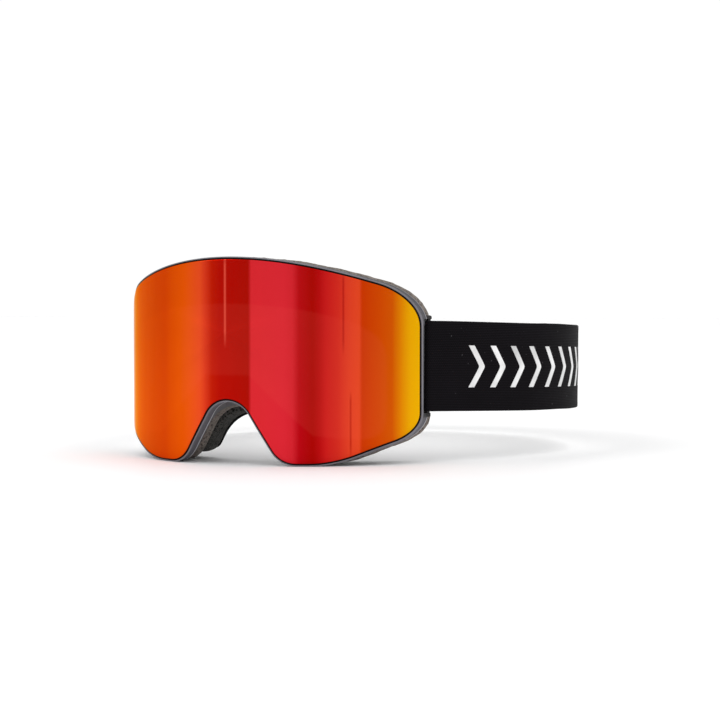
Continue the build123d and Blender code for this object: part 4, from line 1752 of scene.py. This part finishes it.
    def print(self, name: str) -> None:
        """The raised print: nested chevrons, each a band bent to a point halfway up.

        Across a chevron's band, x = point * (1 - |s|) + w * width for s from -1 to 1 up the strap.

        Args:
            name: left or right.
        """
        loop, side = self.loop, SIDES[name]
        s = np.linspace(-1, 1, 41)[:, None]
        soft = np.sqrt(s * s + 0.004)
        w = np.linspace(0, 1, 7)[None]
        along = self.chevron_point * (1 - soft) + w * self.chevron_w + 0 * s
        h = s * self.chevron_h / 2 + 0 * w
        patches = []
        for n in range(self.chevrons):
            start = self.chevron_start + n * self.chevron_step
            angle = start + along / loop.outer_r
            crown = 0.22 - 0.10 * np.maximum(np.abs(2 * w - 1) ** 6, np.abs(s) ** 30)
            top = loop.round(loop.outer_r - 0.02 + crown, angle, h, side)
            bottom = loop.round(np.full_like(angle, loop.outer_r - 0.3), angle, h, side)
            patches += slab(top, bottom)
        rubber = Moulded("print_rubber", (243, 243, 243), 0.55, 0.00002, 1500.0, 0.0).build()
        piece = solid_from(f"chevron_print_{name}", patches, 30.0)
        dress(piece, rubber, Body.FRAME, [f"strap_print_{name}"])

    def grips(self) -> None:
        """Three wavy silicone beads on the inside of the strap's rear."""
        loop = self.loop
        a = np.linspace(math.pi / 2 - self.grip_half, math.pi / 2 + self.grip_half, 220)
        turn = full_turn(12)
        patches = []
        for height in (-13.0, 0.0, 13.0):
            wave = height + 0.75 * np.sin(a * loop.inner_r * 2 * math.pi / self.grip_wave)
            r = loop.inner_r - 0.05 + 0.4 * np.cos(turn)[None] * np.ones((len(a), 1))
            h = wave[:, None] + 0.5 * np.sin(turn)[None]
            patches.append(capped(loop.round(r, a[:, None], h)))
        silicone = Moulded("grip_silicone", (196, 198, 202), 0.3, 0.00001, 900.0, 0.0, 0.5).build()
        dress(solid_from("grip_beads", patches), silicone, Body.FRAME, ["grip_strips"])


@dataclass
class Adjusters:
    """The two three-bar slides that set the strap's length."""

    loop: StrapLoop
    half: float = math.radians(5.8)
    bar_t: float = 1.8
    bar_w: float = 3.6
    rail: float = 1.7
    gap: float = 0.25

    def build(self) -> None:
        """Builds and dresses both adjusters."""
        plastic = Moulded("adjuster_plastic", (14, 14, 15), 0.42, 0.00002, 1500.0, 0.3, 0.0, 0.2).build()
        for name, side in SIDES.items():
            piece = solid_from(f"strap_slide_{name}", self.patches(side))
            dress(piece, plastic, SLIDER[name], [f"adjuster_{name}"])

    def patches(self, side: int) -> list[Patch]:
        """The slide's outer frame, its sunk centre bar and the arms that hold it.

        Args:
            side: 1 for the left, -1 for the right.

        Returns:
            Closed patches that overlap where they meet.
        """
        loop = self.loop
        outer = loop.outer_r + 0.3 + self.bar_t / 2
        top = loop.height / 2 + self.gap + self.rail / 2
        reach = self.half * outer - self.bar_w / 2
        ring = rounded_loop([(-reach, -top), (reach, -top), (reach, top), (-reach, top)], [2.6] * 4, 9)
        steps = np.roll(ring, -1, 0) - np.roll(ring, 1, 0)
        across = unit(np.stack([steps[:, 1], -steps[:, 0]], -1))
        turn = full_turn(20)
        squircle = np.sign(np.cos(turn)) * np.abs(np.cos(turn)) ** 0.55
        lift = np.sign(np.sin(turn)) * np.abs(np.sin(turn)) ** 0.55
        width = np.where(np.abs(across[:, 1]) > 0.5, self.rail / 2, self.bar_w / 2)[:, None]
        flat = ring[:, None] + across[:, None] * (width * squircle)[..., None]
        r = outer + lift[None] * self.bar_t / 2 + 0 * flat[..., 0]
        frame_ring = Patch(
            loop.round(r, loop.adjuster + flat[..., 0] / outer, flat[..., 1], side), wrap_rows=True
        )
        heights = np.linspace(-top, top, 24)[:, None]
        bar_angle = loop.adjuster + squircle[None] * (1.9 / loop.bar_r)
        bar = capped(loop.round(loop.bar_r + lift[None] * 0.85, bar_angle, heights, side))
        arms = []
        for end in (-1, 1):
            radii = np.linspace(loop.bar_r - 0.9, outer, 8)[:, None]
            arm_angle = loop.adjuster + squircle[None] * (3.2 / outer)
            arm_h = end * top + lift[None] * self.rail / 2 * 0.96
            arms.append(capped(loop.round(radii, arm_angle, arm_h, side)))
        return [frame_ring, bar, *arms]


# ---------------------------------------------------------------------------------------------------------
# Studio
# ---------------------------------------------------------------------------------------------------------


@dataclass
class Studio:
    """A pale floor, soft light and the camera."""

    outline: LensOutline
    azimuth: float = math.radians(28.9)
    elevation: float = math.radians(1.9)
    distance: float = 0.900
    lens_mm: float = 92.25
    aim_right: float = 0.06527
    aim_up: float = 0.0025
    floor_half: float = 9000.0  # in millimetres
    surround: float = 1.02
    panels: tuple[tuple[str, tuple[float, float, float], float, float], ...] = (
        # name, place, side, power
        ("overhead", (0.1, 0.1, 1.9), 1.6, 2.5),
        ("left_panel", (-1.2, -1.4, 1.5), 1.0, 8.0),
        ("right_panel", (1.4, -0.2, 1.7), 1.0, 0.6),
    )

    def build(self) -> None:
        """Sets up the floor, the lights, the world and the camera."""
        self.floor()
        self.lights()
        self.camera()
        bpy.context.scene.view_settings.view_transform = "Standard"

    def floor(self) -> None:
        """A wide flat floor, as one sheet."""
        across = np.linspace(-self.floor_half, self.floor_half, 7)
        x, y = np.meshgrid(across, across)
        sheet = solid_from("floor", [Patch(np.stack([x, y, 0 * x], -1), wrap_columns=False)])
        t = Tree("studio_white")
        cloud = t.noise(t.place(), 2.0, 2.0)
        colour = t.mix(t.span(cloud, 0.3, 0.7, 0.0, 1.0), srgb(254, 254, 254), srgb(253, 253, 254))
        sheet.data.materials.append(t.finish(colour, 0.6, Specular_IOR_Level=0.2))

    def lights(self) -> None:
        """An even white surround, and three soft panels high enough to stay out of the mirror."""
        world = bpy.data.worlds.new("surround")
        bpy.context.scene.world = world
        world.use_nodes = True
        background = world.node_tree.nodes["Background"]
        background.inputs[0].default_value = (1, 1, 1, 1)
        background.inputs[1].default_value = self.surround
        for name, place, size, power in self.panels:
            lamp = bpy.data.lights.new(name, "AREA")
            lamp.shape, lamp.size, lamp.energy = "SQUARE", size, power
            obj = bpy.data.objects.new(name, lamp)
            obj.location = place
            obj.rotation_euler = (Vector((0, 0, 0.05)) - Vector(place)).to_track_quat("-Z", "Y").to_euler()
            bpy.context.scene.collection.objects.link(obj)

    def camera(self) -> None:
        """A long lens, to the wearer's left of straight ahead and slightly above."""
        a, e = self.azimuth, self.elevation
        back = Vector((math.sin(a) * math.cos(e), -math.cos(a) * math.cos(e), math.sin(e)))
        right = Vector((math.cos(a), math.sin(a), 0))
        up = back.cross(right)
        apex = Vector((0, self.outline.apex.y * MM, self.outline.eye_z * MM))
        place = apex + back * self.distance
        aim = apex + right * self.aim_right + up * self.aim_up
        data = bpy.data.cameras.new("camera")
        data.lens, data.sensor_width = self.lens_mm, 36.0
        data.clip_start, data.clip_end = 0.05, 50.0
        camera = bpy.data.objects.new("camera", data)
        camera.location = place
        camera.rotation_euler = (aim - place).to_track_quat("-Z", "Y").to_euler()
        bpy.context.scene.collection.objects.link(camera)
        bpy.context.scene.camera = camera


def write_sizes() -> None:
    """Updates the view layer.
    """
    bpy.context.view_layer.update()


def main() -> None:
    """Builds the goggles and the studio round them, in order."""
    logging.basicConfig(level=logging.INFO, format="%(name)s %(message)s")
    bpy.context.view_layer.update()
    outline = LensOutline()
    loop = StrapLoop(outline)
    for part in (
        LensModule(outline, loop),
        FaceFrame(outline, loop),
        FaceFoams(outline, loop),
        HeadStrap(loop),
        Adjusters(loop),
        Studio(outline),
    ):
        LOG.info("building %s", type(part).__name__)
        part.build()
    write_sizes()


if __name__ == "__main__":
    main()
